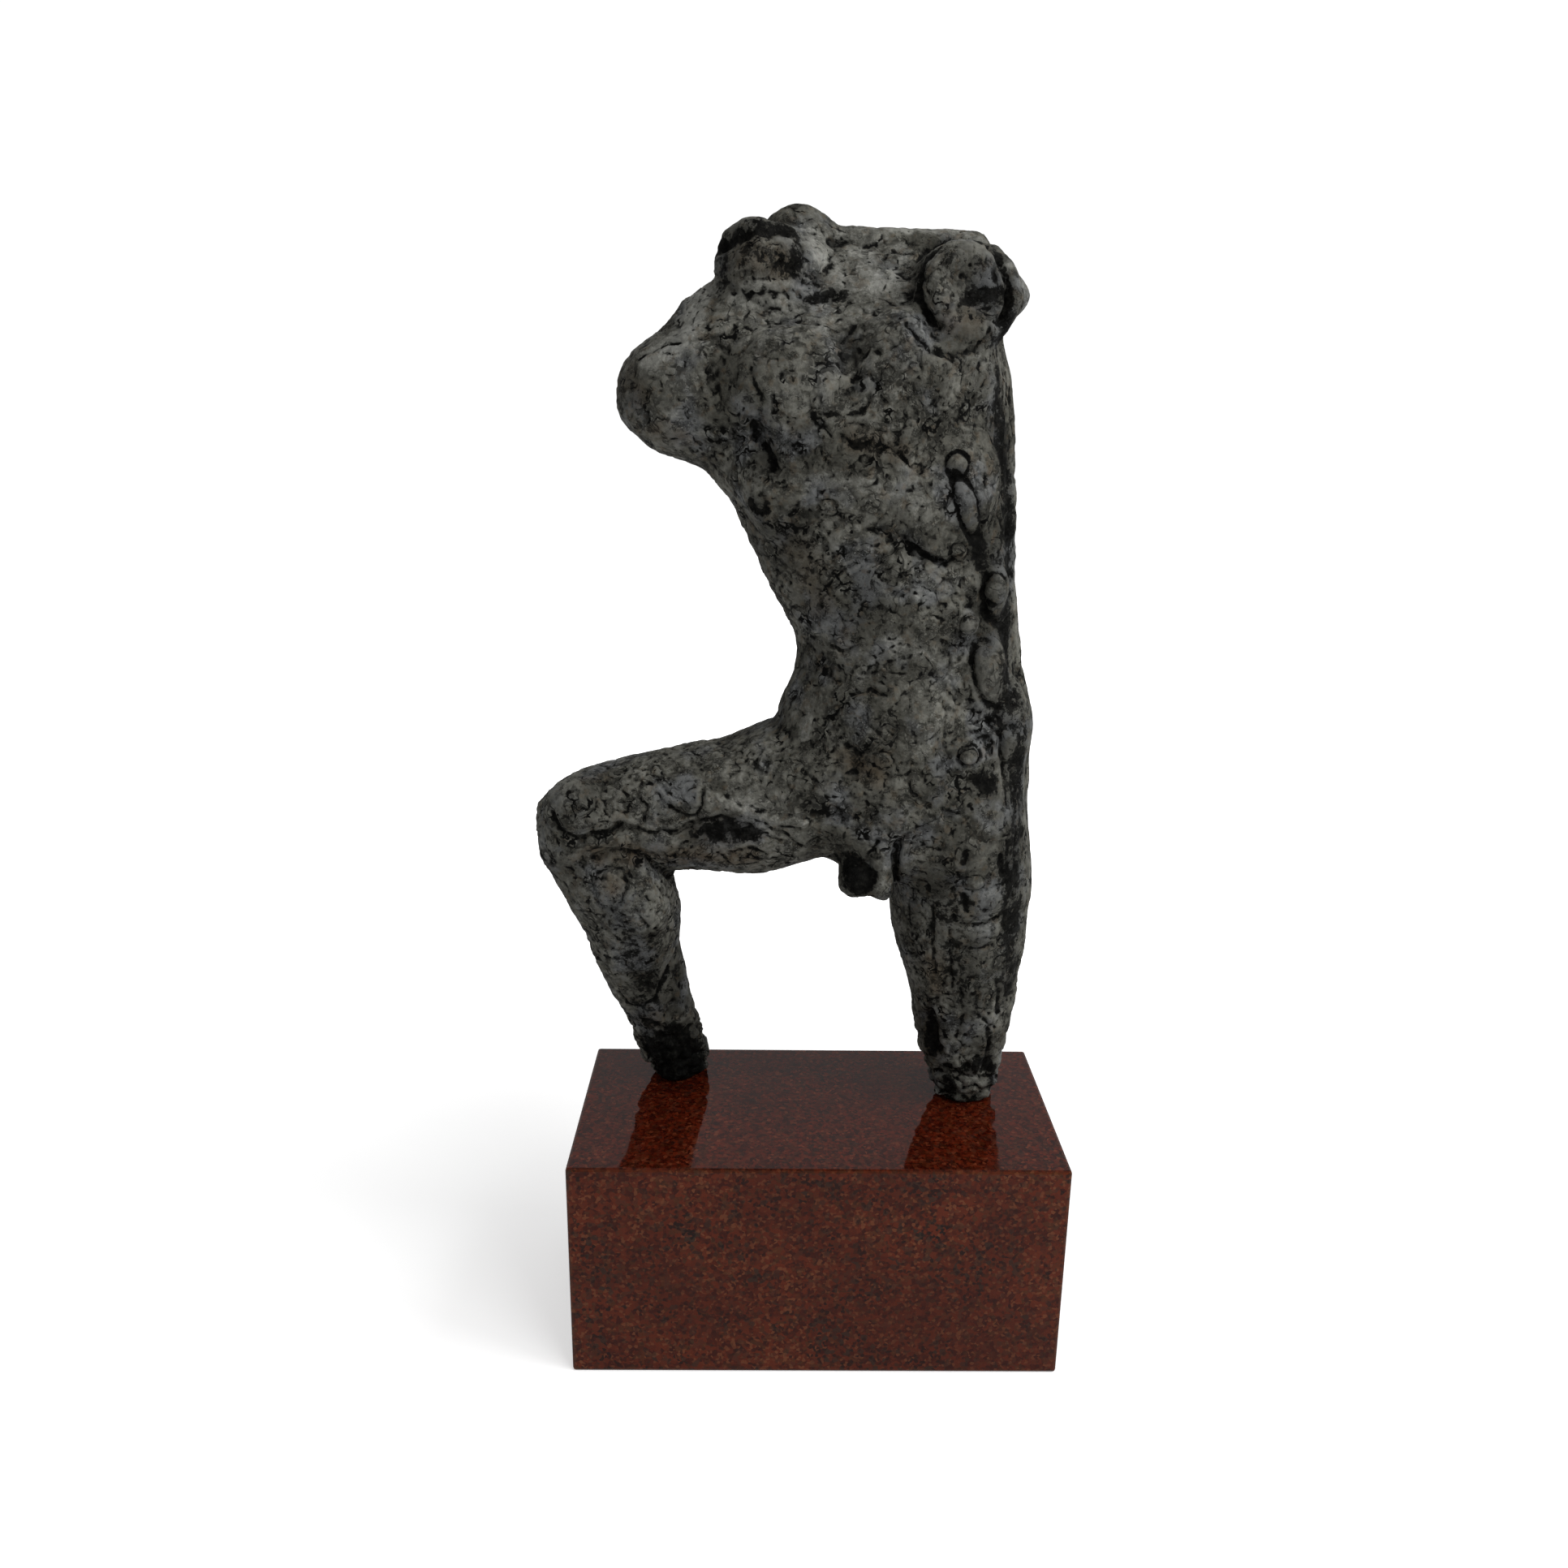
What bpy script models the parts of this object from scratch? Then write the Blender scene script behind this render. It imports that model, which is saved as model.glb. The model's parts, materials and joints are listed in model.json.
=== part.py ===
"""A headless, armless male nude in patinated terracotta, on a polished block of red granite.

Run it with: blender --background --python part.py
Sizes are in metres. +X runs to the viewer's right, +Y away from the viewer and +Z up.
The origin is the centre of the block's underside.
"""

import math
from typing import NamedTuple

import bmesh
import bpy
from mathutils import Matrix, Vector, noise

# The granite block
PLINTH_WIDTH = 0.200
PLINTH_DEPTH = 0.100
PLINTH_HEIGHT = 0.095
ARRIS = 0.0012
ARRIS_STEPS = 2
SEAT_GAP = 0.0003

# The clay figure, from the block's top to the nape
FIGURE_HEIGHT = 0.358

# The figure is laid out in parts, this many to its height: about a millimetre each.
PARTS_TALL = 358
PART = FIGURE_HEIGHT / PARTS_TALL

# How the masses of clay are made one, in parts and in steps
GRAIN = 1.7
BLEND_STEPS = 7
RING_SIDES = 40
RING_SPACING = 4.0
FACETS = 8600

# How far the corners of a squared lump are rounded, in parts
ROUNDING = 5.0
ROUNDING_STEPS = 3

# The broad unevenness of the modelling, in parts
LUMP_SPAN = 15.0
LUMP_HEIGHT = 0.9
DAB_SPAN = 6.5
DAB_HEIGHT = 0.45

# How a groove wavers, in parts, and the share of its run over which it fades at each end
WAVER_SPAN = 8.0
WAVER = 1.8
END_FADE = 0.18

# Colours, linear
TERRACOTTA_GREY = (0.075, 0.073, 0.066, 1.0)
GRANITE_RED = (0.085, 0.022, 0.015, 1.0)


class Section(NamedTuple):
    """A ring of a limb or of the trunk, in parts: its centre, and its half width and half depth."""

    x: float
    y: float
    z: float
    wide: float
    deep: float


class Mass(NamedTuple):
    """A lump of clay laid on, in parts: centre, half sizes, and its lean in degrees about Y then Z."""

    x: float
    y: float
    z: float
    wide: float
    deep: float
    high: float
    lean: float = 0.0
    turn: float = 0.0


class Block(NamedTuple):
    """A squared lump of clay, in parts: centre, half sizes, and its lean in degrees about Y."""

    x: float
    y: float
    z: float
    wide: float
    deep: float
    high: float
    lean: float = 0.0


class Groove(NamedTuple):
    """A line pressed in, in parts: its points, half width and depth, and the way that its faces look.

    The points are (x, z) on the front and the back, and (y, z) on a flank.
    """

    points: tuple
    width: float
    depth: float
    faces: tuple = (0, -1)


TRUNK = (
    Section(34, 14, 104, 22, 22),
    Section(33.5, 13, 112, 34, 28),
    Section(33, 13, 120, 44, 32),
    Section(34, 13, 134, 50, 35),
    Section(33, 13, 150, 51.5, 35),
    Section(32.5, 14, 164, 51, 33),
    Section(32.5, 14, 175, 49.6, 30),
    Section(34, 15, 186, 46, 28),
    Section(33.9, 15, 197, 44.9, 26.5),
    Section(30.8, 14, 209, 45.5, 27.5),
    Section(25.6, 14, 223, 48.9, 29.5),
    Section(21.6, 14, 237, 51.7, 32),
    Section(18.6, 15, 250, 53.8, 34.5),
    Section(14.8, 15, 258, 57.1, 36),
    Section(12.8, 16, 265, 59, 37),
    Section(12.7, 17, 282, 57.9, 38),
    Section(11.7, 18, 300, 56.6, 36),
    Section(11.4, 20, 317, 52.3, 31),
    Section(13, 23, 331, 46, 24),
    Section(16, 26, 343, 40, 15),
)

LEFT_LEG = (
    Section(65.5, 12, -6, 10, 10),
    Section(65.5, 12, 5, 12.5, 12.5),
    Section(64, 12, 20, 16.6, 16.5),
    Section(63.3, 12, 30, 19.3, 19),
    Section(62.9, 12, 43, 21.4, 21.5),
    Section(62.4, 13, 56, 23.8, 24),
    Section(60.8, 13, 70, 26.8, 26.5),
    Section(59.6, 14, 82, 28.6, 28.5),
    Section(59.4, 14, 100, 29.4, 31),
    Section(57, 14, 120, 29, 34),
    Section(54, 15, 140, 29, 35),
    Section(50, 15, 156, 28, 32),
)

RIGHT_THIGH = (
    Section(20, 15, 140, 30, 32),
    Section(6, 15, 141, 30, 32),
    Section(-13, 14, 137.2, 30.4, 31),
    Section(-27, 13, 132.4, 29.7, 29),
    Section(-39, 12, 130.2, 27.5, 27.5),
    Section(-52, 11, 130.6, 26, 26),
    Section(-70, 9, 128.6, 24, 23.5),
    Section(-84, 7, 127.5, 22.1, 21.5),
    Section(-96, 6, 125.9, 20.9, 20),
    Section(-106.5, 5, 121.4, 18.2, 18),
    Section(-114, 5, 119.2, 12.6, 13),
)

RIGHT_SHIN = (
    Section(-91, 5, 124, 17, 16),
    Section(-88.4, 7, 110, 22.6, 20),
    Section(-83, 10, 96, 22.6, 22),
    Section(-78.6, 13, 80, 20.3, 20.5),
    Section(-76.4, 15, 68, 18.2, 18.5),
    Section(-73.8, 18, 54, 16.8, 16.5),
    Section(-69.8, 21, 40, 15, 15),
    Section(-65.6, 25, 25, 14.4, 14),
    Section(-61.8, 28, 12, 13.6, 13.5),
    Section(-59.6, 30, 2, 11.5, 11.5),
    Section(-58.5, 31, -7, 9.5, 9.5),
)

RIGHT_SHOULDER = (
    Section(-8, 19, 294, 34, 30),
    Section(-26, 17, 296, 36, 30),
    Section(-40, 15, 297.5, 36.5, 28),
    Section(-50, 13, 296.5, 30.5, 25.5),
    Section(-55, 12, 296, 28, 24),
    Section(-60, 11, 293, 24, 22.5),
    Section(-65, 10, 292, 21.4, 20.5),
    Section(-70, 9, 291.2, 17.4, 17.5),
    Section(-74, 7, 290.8, 13.4, 14),
    Section(-77, 6, 290.6, 9, 10),
    Section(-78.8, 6, 290.8, 4.5, 5),
)

LEFT_SHOULDER = (
    Section(36, 26, 318, 21, 21),
    Section(43, 12, 323, 20, 21),
    Section(47, 0, 326, 19, 20),
    Section(48.5, -9, 327, 18, 19.5),
    Section(49, -14, 327.5, 15, 16.5),
)

NECK = (
    Section(-5, 22, 328, 18, 17),
    Section(-15, 15, 333, 17, 16),
    Section(-25, 8, 336.8, 15.4, 15),
    Section(-32.4, 3, 339.6, 14, 13.5),
    Section(-35.2, 0, 341.2, 12.2, 12),
)

# Each limb with the way that it runs, to which its rings are square
LIMBS = (
    (TRUNK, (0, 0, 1)),
    (LEFT_LEG, (-0.05, 0, 1)),
    (RIGHT_THIGH, (-1, -0.08, -0.13)),
    (RIGHT_SHIN, (0.25, 0.2, -1)),
    (RIGHT_SHOULDER, (-1, -0.18, 0)),
    (LEFT_SHOULDER, (0.32, -0.94, 0.2)),
    (NECK, (-0.72, -0.62, 0.28)),
)

MASSES = {
    "right_breast": Mass(-14, -10, 294, 27, 13, 21, 8),
    "left_breast": Mass(27, -10, 300, 23, 12, 22, -6),
    "right_ribs": Mass(-7, -6, 260, 25, 12, 24, -14),
    "left_ribs": Mass(37, -8, 262, 26, 11, 27, 8),
    "belly": Mass(19, -1, 212, 24, 12, 30, -6),
    "lower_belly": Mass(30, -3, 164, 34, 16, 34),
    "right_flank": Mass(6, 17, 232, 19, 24, 26, -16),
    "left_haunch": Mass(67.6, 14, 165, 17, 27, 30),
    "right_groin": Mass(2, -2, 142, 22, 16, 18, 20),
    "left_groin": Mass(54, -6, 128, 24, 16, 30),
    "right_buttock": Mass(12, 33, 137, 27, 22, 27),
    "left_buttock": Mass(52, 35, 143, 28, 23, 30),
    "left_hamstring": Mass(58, 24, 98, 22, 18, 34),
    "throat": Mass(-20, 8, 325, 19, 13, 14),
    "nape": Mass(-12, 26, 345.6, 17, 14, 14),
    "trapezius": Mass(26, 27, 337.5, 34, 13, 14, 4),
    "right_shoulder_blade": Mass(-18, 43, 296, 25, 10, 27, 12),
    "left_shoulder_blade": Mass(42, 43, 300, 21, 10, 28, -8),
    "left_armpit": Mass(48, 4, 298, 15, 19, 20),
    "kneecap": Mass(-97, -9, 133, 14, 9, 13.5, 15),
    "calf": Mass(-77, 18, 84, 18.5, 18, 24, -10),
    "calf_head": Mass(-74, -3, 97, 12.5, 12, 18, -20),
    "left_knee": Mass(60, -10, 101, 16, 8, 14),
    "testes": Mass(13.5, -11, 107.5, 8, 8, 8.5),
    "member": Mass(24.5, -13, 111.5, 6, 7, 13),
}

BLOCKS = {
    "left_shoulder_top": Block(57.6, 19, 328.6, 13, 13, 13, 48),
    "shoulder_ridge": Block(30.5, 26, 338.4, 28, 10, 13.5, 1.5),
    "nape_ridge": Block(-10.5, 27, 340.4, 14, 10, 14, 42),
}

# Pellets of clay pressed on down the left flank
PELLETS = {
    "button": Mass(46, -14, 268, 4.5, 6, 4.5),
    "long_pellet": Mass(50, -12, 253, 4.6, 7, 11.5, 16),
    "flank_pellet": Mass(63, -5, 222, 6, 8, 10, 6),
    "small_button": Mass(53, -11, 210, 4, 5, 4),
    "hip_pellet": Mass(62, -8, 191, 7, 8, 14, 8),
    "hip_button": Mass(55, -16, 160, 5, 5, 5),
    "navel_button": Mass(22.5, -17, 157, 3.5, 4, 3.5),
}

FRONT = (0, -1)
BACK = (0, 1)
LEFT_FLANK = (1, 0)
GROOVES = (
    Groove(((-27, 288), (-25, 272), (-20, 262), (-14, 258)), 3.0, 3.0),
    Groove(((-64, 314), (-50, 317), (-38, 314)), 2.6, 1.6),
    Groove(((-2, 229), (4, 238), (16, 245), (27, 240), (36, 233), (47, 232)), 2.4, 1.8),
    Groove(((26, 240), (34, 234), (45, 232)), 2.0, 2.4),
    Groove(((-8, 336), (2, 322), (7, 300), (9, 272)), 5.0, 1.6),
    Groove(((18, 341), (28, 336), (32, 318), (40, 305)), 3.4, 2.6),
    Groove(((29, 126), (29.5, 104), (30, 88)), 2.0, 4.5),
    Groove(((-104, 127), (-84, 127), (-68, 128), (-46, 133), (-18, 134)), 2.6, 2.2),
    Groove(((-92, 115), (-84, 119), (-74, 117), (-66, 109), (-61, 96)), 2.2, 2.2),
    Groove(((-84, 62), (-72, 57), (-66, 62)), 1.8, 1.6),
    Groove(((46, 92), (62, 91), (76, 93)), 1.8, 1.2),
    Groove(((48, 82), (62, 81), (76, 83)), 1.8, 1.2),
    Groove(((45, 48), (47, 41), (50, 30)), 4.2, 2.4),
    Groove(((2, 178), (6, 160), (16, 148)), 5.0, 1.6),
    Groove(((12, 158), (15, 150)), 4.0, 2.0),
    Groove(((4, 326), (3, 250), (3, 190), (3, 110)), 2.6, 1.4, LEFT_FLANK),
    Groove(((10, 330), (9, 290), (16, 250), (28, 205), (32, 172)), 7.5, 3.4, BACK),
    Groove(((32, 176), (32, 140), (33, 106)), 4.6, 5.0, BACK),
    Groove(((34, 112), (52, 109), (76, 116)), 5.0, 3.0, BACK),
    Groove(((28, 114), (10, 109), (-12, 112)), 5.0, 2.8, BACK),
)


def clear_scene() -> None:
    """Empties the scene, so that the script can run in any file."""
    for obj in list(bpy.data.objects):
        bpy.data.objects.remove(obj, do_unlink=True)


def material(name: str, colour: tuple, roughness: float) -> bpy.types.Material:
    """A plain finish for a solid."""
    made = bpy.data.materials.new(name)
    made.use_nodes = True
    shader = made.node_tree.nodes["Principled BSDF"]
    shader.inputs["Base Color"].default_value = colour
    shader.inputs["Roughness"].default_value = roughness
    shader.inputs["Metallic"].default_value = 0.0
    made.diffuse_color = colour
    return made


def link(name: str, mesh: bpy.types.Mesh) -> bpy.types.Object:
    """Puts a mesh in the scene as an object of that name."""
    obj = bpy.data.objects.new(name, mesh)
    bpy.context.scene.collection.objects.link(obj)
    return obj


def spline(sections: tuple, at: float) -> list:
    """The section at a place along the limb, on a smooth curve through the drawn ones."""
    last = len(sections) - 1
    i = min(int(at), last - 1)
    t = at - i
    a, b, c, d = (sections[min(max(k, 0), last)] for k in (i - 1, i, i + 1, i + 2))
    return [
        0.5 * (2 * q + (r - p) * t + (2 * p - 5 * q + 4 * r - s) * t * t + (3 * q - p - 3 * r + s) * t**3)
        for p, q, r, s in zip(a, b, c, d)
    ]


def limb(shape: bmesh.types.BMesh, sections: tuple, run: tuple) -> None:
    """Lofts a limb through its sections: elliptical rings square to its run, bridged, with closed ends."""
    centres = [Vector(s[:3]) for s in sections]
    along = Vector(run).normalized()
    # Width lies across the limb and in the plane of the front, depth runs away from the viewer.
    away = Vector((0, 1, 0)) if abs(along.y) < 0.75 else Vector((1, 0, 0))
    across = along.cross(away).normalized()
    depth_axis = across.cross(along).normalized()
    steps = max(2, round(sum((b - a).length for a, b in zip(centres, centres[1:])) / RING_SPACING))
    rings = []
    for k in range(steps + 1):
        at = k * (len(sections) - 1) / steps
        x, y, z, wide, deep = spline(sections, at)
        frame = Matrix((across * wide, depth_axis * deep, along)).transposed().to_4x4()
        frame.translation = Vector((x, y, z))
        made = bmesh.ops.create_circle(shape, segments=RING_SIDES, radius=1.0, matrix=frame, cap_ends=False)
        rings.append(made["verts"])
    for lower, upper in zip(rings, rings[1:]):
        for k in range(RING_SIDES):
            j = (k + 1) % RING_SIDES
            shape.faces.new((lower[k], lower[j], upper[j], upper[k]))
    shape.faces.new(reversed(rings[0]))
    shape.faces.new(rings[-1])


def mass(shape: bmesh.types.BMesh, lump: Mass) -> None:
    """Lays an egg of clay on."""
    place = (
        Matrix.Translation((lump.x, lump.y, lump.z))
        @ Matrix.Rotation(math.radians(lump.turn), 4, "Z")
        @ Matrix.Rotation(math.radians(lump.lean), 4, "Y")
        @ Matrix.Diagonal((lump.wide, lump.deep, lump.high, 1.0))
    )
    bmesh.ops.create_icosphere(shape, subdivisions=4, radius=1.0, matrix=place)


def block(shape: bmesh.types.BMesh, lump: Block) -> None:
    """Lays a squared lump of clay on, its corners rounded by hand."""
    made = bmesh.ops.create_cube(shape, size=2.0)
    corners = set(made["verts"])
    bmesh.ops.scale(shape, vec=(lump.wide, lump.deep, lump.high), verts=made["verts"])
    rounded = bmesh.ops.bevel(
        shape,
        geom=[edge for edge in shape.edges if corners.issuperset(edge.verts)],
        offset=ROUNDING,
        segments=ROUNDING_STEPS,
        profile=0.5,
        affect="EDGES",
        material=-1,
    )
    place = Matrix.Translation((lump.x, lump.y, lump.z)) @ Matrix.Rotation(math.radians(lump.lean), 4, "Y")
    flats = {vert for face in rounded["faces"] for vert in face.verts}
    bmesh.ops.transform(shape, matrix=place, verts=list(flats))


def evaluated_mesh(obj: bpy.types.Object) -> bpy.types.Mesh:
    """The object's mesh with its modifiers applied; the object itself is removed."""
    graph = bpy.context.evaluated_depsgraph_get()
    mesh = bpy.data.meshes.new_from_object(obj.evaluated_get(graph))
    bpy.data.objects.remove(obj, do_unlink=True)
    return mesh


def made_one(shape: bmesh.types.BMesh) -> bmesh.types.BMesh:
    """Joins overlapping masses into one skin, as clay is pressed and smoothed together."""
    mesh = bpy.data.meshes.new("clay")
    bmesh.ops.recalc_face_normals(shape, faces=shape.faces)
    shape.to_mesh(mesh)
    shape.free()
    clay = link("clay", mesh)
    remesh = clay.modifiers.new("press together", "REMESH")
    remesh.mode = "VOXEL"
    remesh.voxel_size = GRAIN
    smooth = clay.modifiers.new("smooth over", "SMOOTH")
    smooth.factor = 0.6
    smooth.iterations = BLEND_STEPS
    joined = bmesh.new()
    joined.from_mesh(evaluated_mesh(clay))
    return joined


def along_run(point: Vector, points: list) -> tuple:
    """How far a point is from a run of straight lines, and what share of the run is behind it there."""
    lengths = [(b - a).length for a, b in zip(points, points[1:])]
    behind, best = 0.0, (math.inf, 0.0)
    for start, end, length in zip(points, points[1:], lengths):
        share = max(0.0, min(1.0, (point - start).dot(end - start) / length**2))
        away = (point - start.lerp(end, share)).length
        best = min(best, (away, (behind + share * length) / sum(lengths)))
        behind += length
    return best


def press_grooves(shape: bmesh.types.BMesh) -> None:
    """Presses each groove into the faces that look its way, wavering a little and fading at its ends."""
    for groove in GROOVES:
        points = [Vector(p) for p in groove.points]
        reach = 3 * groove.width
        low = [min(p[k] for p in points) - reach for k in range(2)]
        high = [max(p[k] for p in points) + reach for k in range(2)]
        looks = Vector((*groove.faces, 0))
        for vert in shape.verts:
            level = vert.co.x if looks.x == 0 else vert.co.y
            facing = vert.normal.dot(looks)
            if facing < 0.05 or not (low[0] < level < high[0] and low[1] < vert.co.z < high[1]):
                continue
            sway = noise.noise_vector(vert.co / WAVER_SPAN) * WAVER
            away, share = along_run(Vector((level + sway.x, vert.co.z + sway.z)), points)
            fade = min(1.0, share / END_FADE, (1 - share) / END_FADE) * min(1.0, facing * 2)
            vert.co -= vert.normal * groove.depth * fade * math.exp(-((away / groove.width) ** 2))


def roughen(shape: bmesh.types.BMesh) -> None:
    """Gives the skin the broad unevenness of clay laid on by hand."""
    shape.normal_update()
    for vert in shape.verts:
        lump = noise.noise(vert.co / LUMP_SPAN)
        dab = noise.noise(vert.co / DAB_SPAN + Vector((7.0, 3.0, 5.0)))
        vert.co += vert.normal * (LUMP_HEIGHT * lump + DAB_HEIGHT * dab)


def cut_feet(shape: bmesh.types.BMesh) -> None:
    """Cuts both broken legs off flat where they meet the block."""
    everything = shape.verts[:] + shape.edges[:] + shape.faces[:]
    cut = bmesh.ops.bisect_plane(
        shape, geom=everything, plane_co=(0, 0, 0), plane_no=(0, 0, -1), clear_outer=True
    )
    rim = [item for item in cut["geom_cut"] if isinstance(item, bmesh.types.BMEdge)]
    bmesh.ops.holes_fill(shape, edges=rim, sides=0)


def figure() -> bpy.types.Object:
    """The clay figure, one solid, standing on the block."""
    shape = bmesh.new()
    for sections, run in LIMBS:
        limb(shape, sections, run)
    for lump in (*MASSES.values(), *PELLETS.values()):
        mass(shape, lump)
    for lump in BLOCKS.values():
        block(shape, lump)
    shape = made_one(shape)
    shape.normal_update()
    press_grooves(shape)
    roughen(shape)
    bmesh.ops.triangulate(shape, faces=shape.faces)
    full = len(shape.faces)

    mesh = bpy.data.meshes.new("figure")
    shape.to_mesh(mesh)
    shape.free()
    rough = link("rough figure", mesh)
    facets = rough.modifiers.new("facets", "DECIMATE")
    facets.ratio = min(1.0, FACETS / full)
    shape = bmesh.new()
    shape.from_mesh(evaluated_mesh(rough))
    cut_feet(shape)
    bmesh.ops.scale(shape, vec=(PART, PART, PART), verts=shape.verts)
    bmesh.ops.triangulate(shape, faces=shape.faces)
    bmesh.ops.recalc_face_normals(shape, faces=shape.faces)
    mesh = bpy.data.meshes.new("figure")
    shape.to_mesh(mesh)
    shape.free()
    mesh.shade_smooth()
    made = link("figure", mesh)
    made.location = (0, 0, PLINTH_HEIGHT + SEAT_GAP)
    made.data.materials.append(material("patinated terracotta", TERRACOTTA_GREY, 0.85))
    return made


def plinth() -> bpy.types.Object:
    """The granite block, with eased edges."""
    shape = bmesh.new()
    bmesh.ops.create_cube(shape, size=1.0)
    bmesh.ops.scale(shape, vec=(PLINTH_WIDTH, PLINTH_DEPTH, PLINTH_HEIGHT), verts=shape.verts)
    bmesh.ops.translate(shape, vec=(0, 0, PLINTH_HEIGHT / 2), verts=shape.verts)
    bmesh.ops.bevel(
        shape,
        geom=shape.edges,
        offset=ARRIS,
        segments=ARRIS_STEPS,
        profile=0.5,
        affect="EDGES",
        material=-1,
    )
    mesh = bpy.data.meshes.new("plinth")
    shape.to_mesh(mesh)
    shape.free()
    made = link("plinth", mesh)
    made.data.materials.append(material("polished red granite", GRANITE_RED, 0.12))
    return made


def main() -> None:
    """Builds the block and the figure on it."""
    clear_scene()
    plinth()
    figure()


main()
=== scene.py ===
"""A terracotta male nude, a headless and armless standing fragment, on a polished red granite block.

The frame gives the shape and place of both pieces. This script dresses them: the clay gets its modelled
surface, pellets, cracks and dark wash, with painted shade and light among its patches, and the block its
speckled, polished stone, with painted shade on its top.
Lengths are metres, +X is the viewer's right, +Y is away from the viewer and +Z is up.
Places on the figure are given in millimetres, with heights above the block's top.
"""

from __future__ import annotations

import json
import logging
import math
from dataclasses import dataclass
from enum import Enum

import bmesh
import bpy
import numpy as np
from mathutils import Matrix, Vector, noise
from mathutils.bvhtree import BVHTree

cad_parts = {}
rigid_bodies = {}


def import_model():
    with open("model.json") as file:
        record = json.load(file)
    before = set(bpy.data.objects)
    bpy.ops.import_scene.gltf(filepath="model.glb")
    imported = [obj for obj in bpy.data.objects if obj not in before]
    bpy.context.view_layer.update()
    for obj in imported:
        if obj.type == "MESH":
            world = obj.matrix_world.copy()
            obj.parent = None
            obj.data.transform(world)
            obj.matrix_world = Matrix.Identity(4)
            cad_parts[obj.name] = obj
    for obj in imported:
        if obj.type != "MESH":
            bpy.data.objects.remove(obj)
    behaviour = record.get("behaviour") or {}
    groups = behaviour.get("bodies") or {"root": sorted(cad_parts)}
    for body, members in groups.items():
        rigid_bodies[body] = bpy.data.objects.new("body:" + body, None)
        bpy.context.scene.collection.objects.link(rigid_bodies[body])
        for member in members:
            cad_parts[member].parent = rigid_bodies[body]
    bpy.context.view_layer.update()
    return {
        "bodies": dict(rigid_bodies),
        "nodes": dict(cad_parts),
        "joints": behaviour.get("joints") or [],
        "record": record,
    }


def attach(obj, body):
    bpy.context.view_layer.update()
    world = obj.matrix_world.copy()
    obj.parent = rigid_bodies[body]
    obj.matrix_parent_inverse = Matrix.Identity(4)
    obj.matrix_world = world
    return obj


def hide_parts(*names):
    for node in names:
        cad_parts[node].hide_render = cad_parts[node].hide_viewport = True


LOG = logging.getLogger("terracotta_nude")
MM = 0.001
NOISE_SEED = 7
WHITE = (1.0, 1.0, 1.0, 1.0)

# In millimetres: the block's top, how far outside a pin starts, and how far in a missed one looks around.
BLOCK_TOP = 95.0
STAND_OFF = 400.0
MISSED_REACH = 385.0

# In a mark's own widths or reaches: where the box round it, its edge and a pellet's groove lie.
CREASE_BOX = 2.2
PATCH_BOX = 1.7
PELLET_BOX = 1.5
SOFT_EDGE = 1.35
PELLET_GROOVE = 1.12

Point = tuple[float, float]
Colour = tuple[float, float, float, float]


def paint(red: int, green: int, blue: int) -> Colour:
    """A colour as it is named on a screen, turned into the linear values that a shader takes.

    Args:
        red: Red, 0 to 255.
        green: Green, 0 to 255.
        blue: Blue, 0 to 255.

    Returns:
        The linear colour, with full alpha.
    """
    parts = [c / 255 for c in (red, green, blue)]
    linear = [c / 12.92 if c <= 0.04045 else ((c + 0.055) / 1.055) ** 2.4 for c in parts]
    return (linear[0], linear[1], linear[2], 1.0)


# Marks on the clay


class Side(Enum):
    """The side of the figure that a mark is found on, and the way a pin pushed in there points."""

    FRONT = (0.0, 1.0)
    BACK = (0.0, -1.0)
    LEFT_FLANK = (-1.0, 0.0)
    RIGHT_FLANK = (1.0, 0.0)

    def pin(self, across: float, up: float) -> tuple[Vector, Vector]:
        """Where a pin starts outside the figure, and its direction.

        Args:
            across: The place across that side, x on the front and back and y on the flanks, in millimetres.
            up: The height above the block, in millimetres.

        Returns:
            The start and the unit direction, in metres.
        """
        heading = Vector((self.value[0], self.value[1], 0.0))
        place = Vector((0.0, across, 0.0)) if self.value[0] else Vector((across, 0.0, 0.0))
        place.z = BLOCK_TOP + up
        return (place - heading * STAND_OFF) * MM, heading


@dataclass(frozen=True)
class Crease:
    """A line pressed or cut into the clay, or a ridge where depth is negative. One point makes a pit."""

    path: tuple[Point, ...]
    width: float
    depth: float
    soot_and_shade: float = 0.7
    side: Side = Side.FRONT


@dataclass(frozen=True)
class Pellet:
    """A button, ball or strip of clay pressed on, oval, with a groove where it meets the body."""

    centre: Point
    reach: Point
    height: float
    rim: float = 0.0
    turn: float = 0.0
    side: Side = Side.FRONT


@dataclass(frozen=True)
class StainShadeAndLight:
    """A patch where the wash is darker, the clay shows browner, or the surface is rubbed pale; some dark
    patches also paint shade and some pale ones paint light.
    """

    path: tuple[Point, ...]
    reach: float
    soot_and_shade: float = 0.0
    rust: float = 0.0
    chalk_and_light: float = 0.0
    side: Side = Side.FRONT


@dataclass(frozen=True)
class Swell:
    """A broad, soft place where the clay stands further out than the solid, or in where lift is negative."""

    path: tuple[Point, ...]
    reach: float
    lift: float
    side: Side = Side.FRONT


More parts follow.
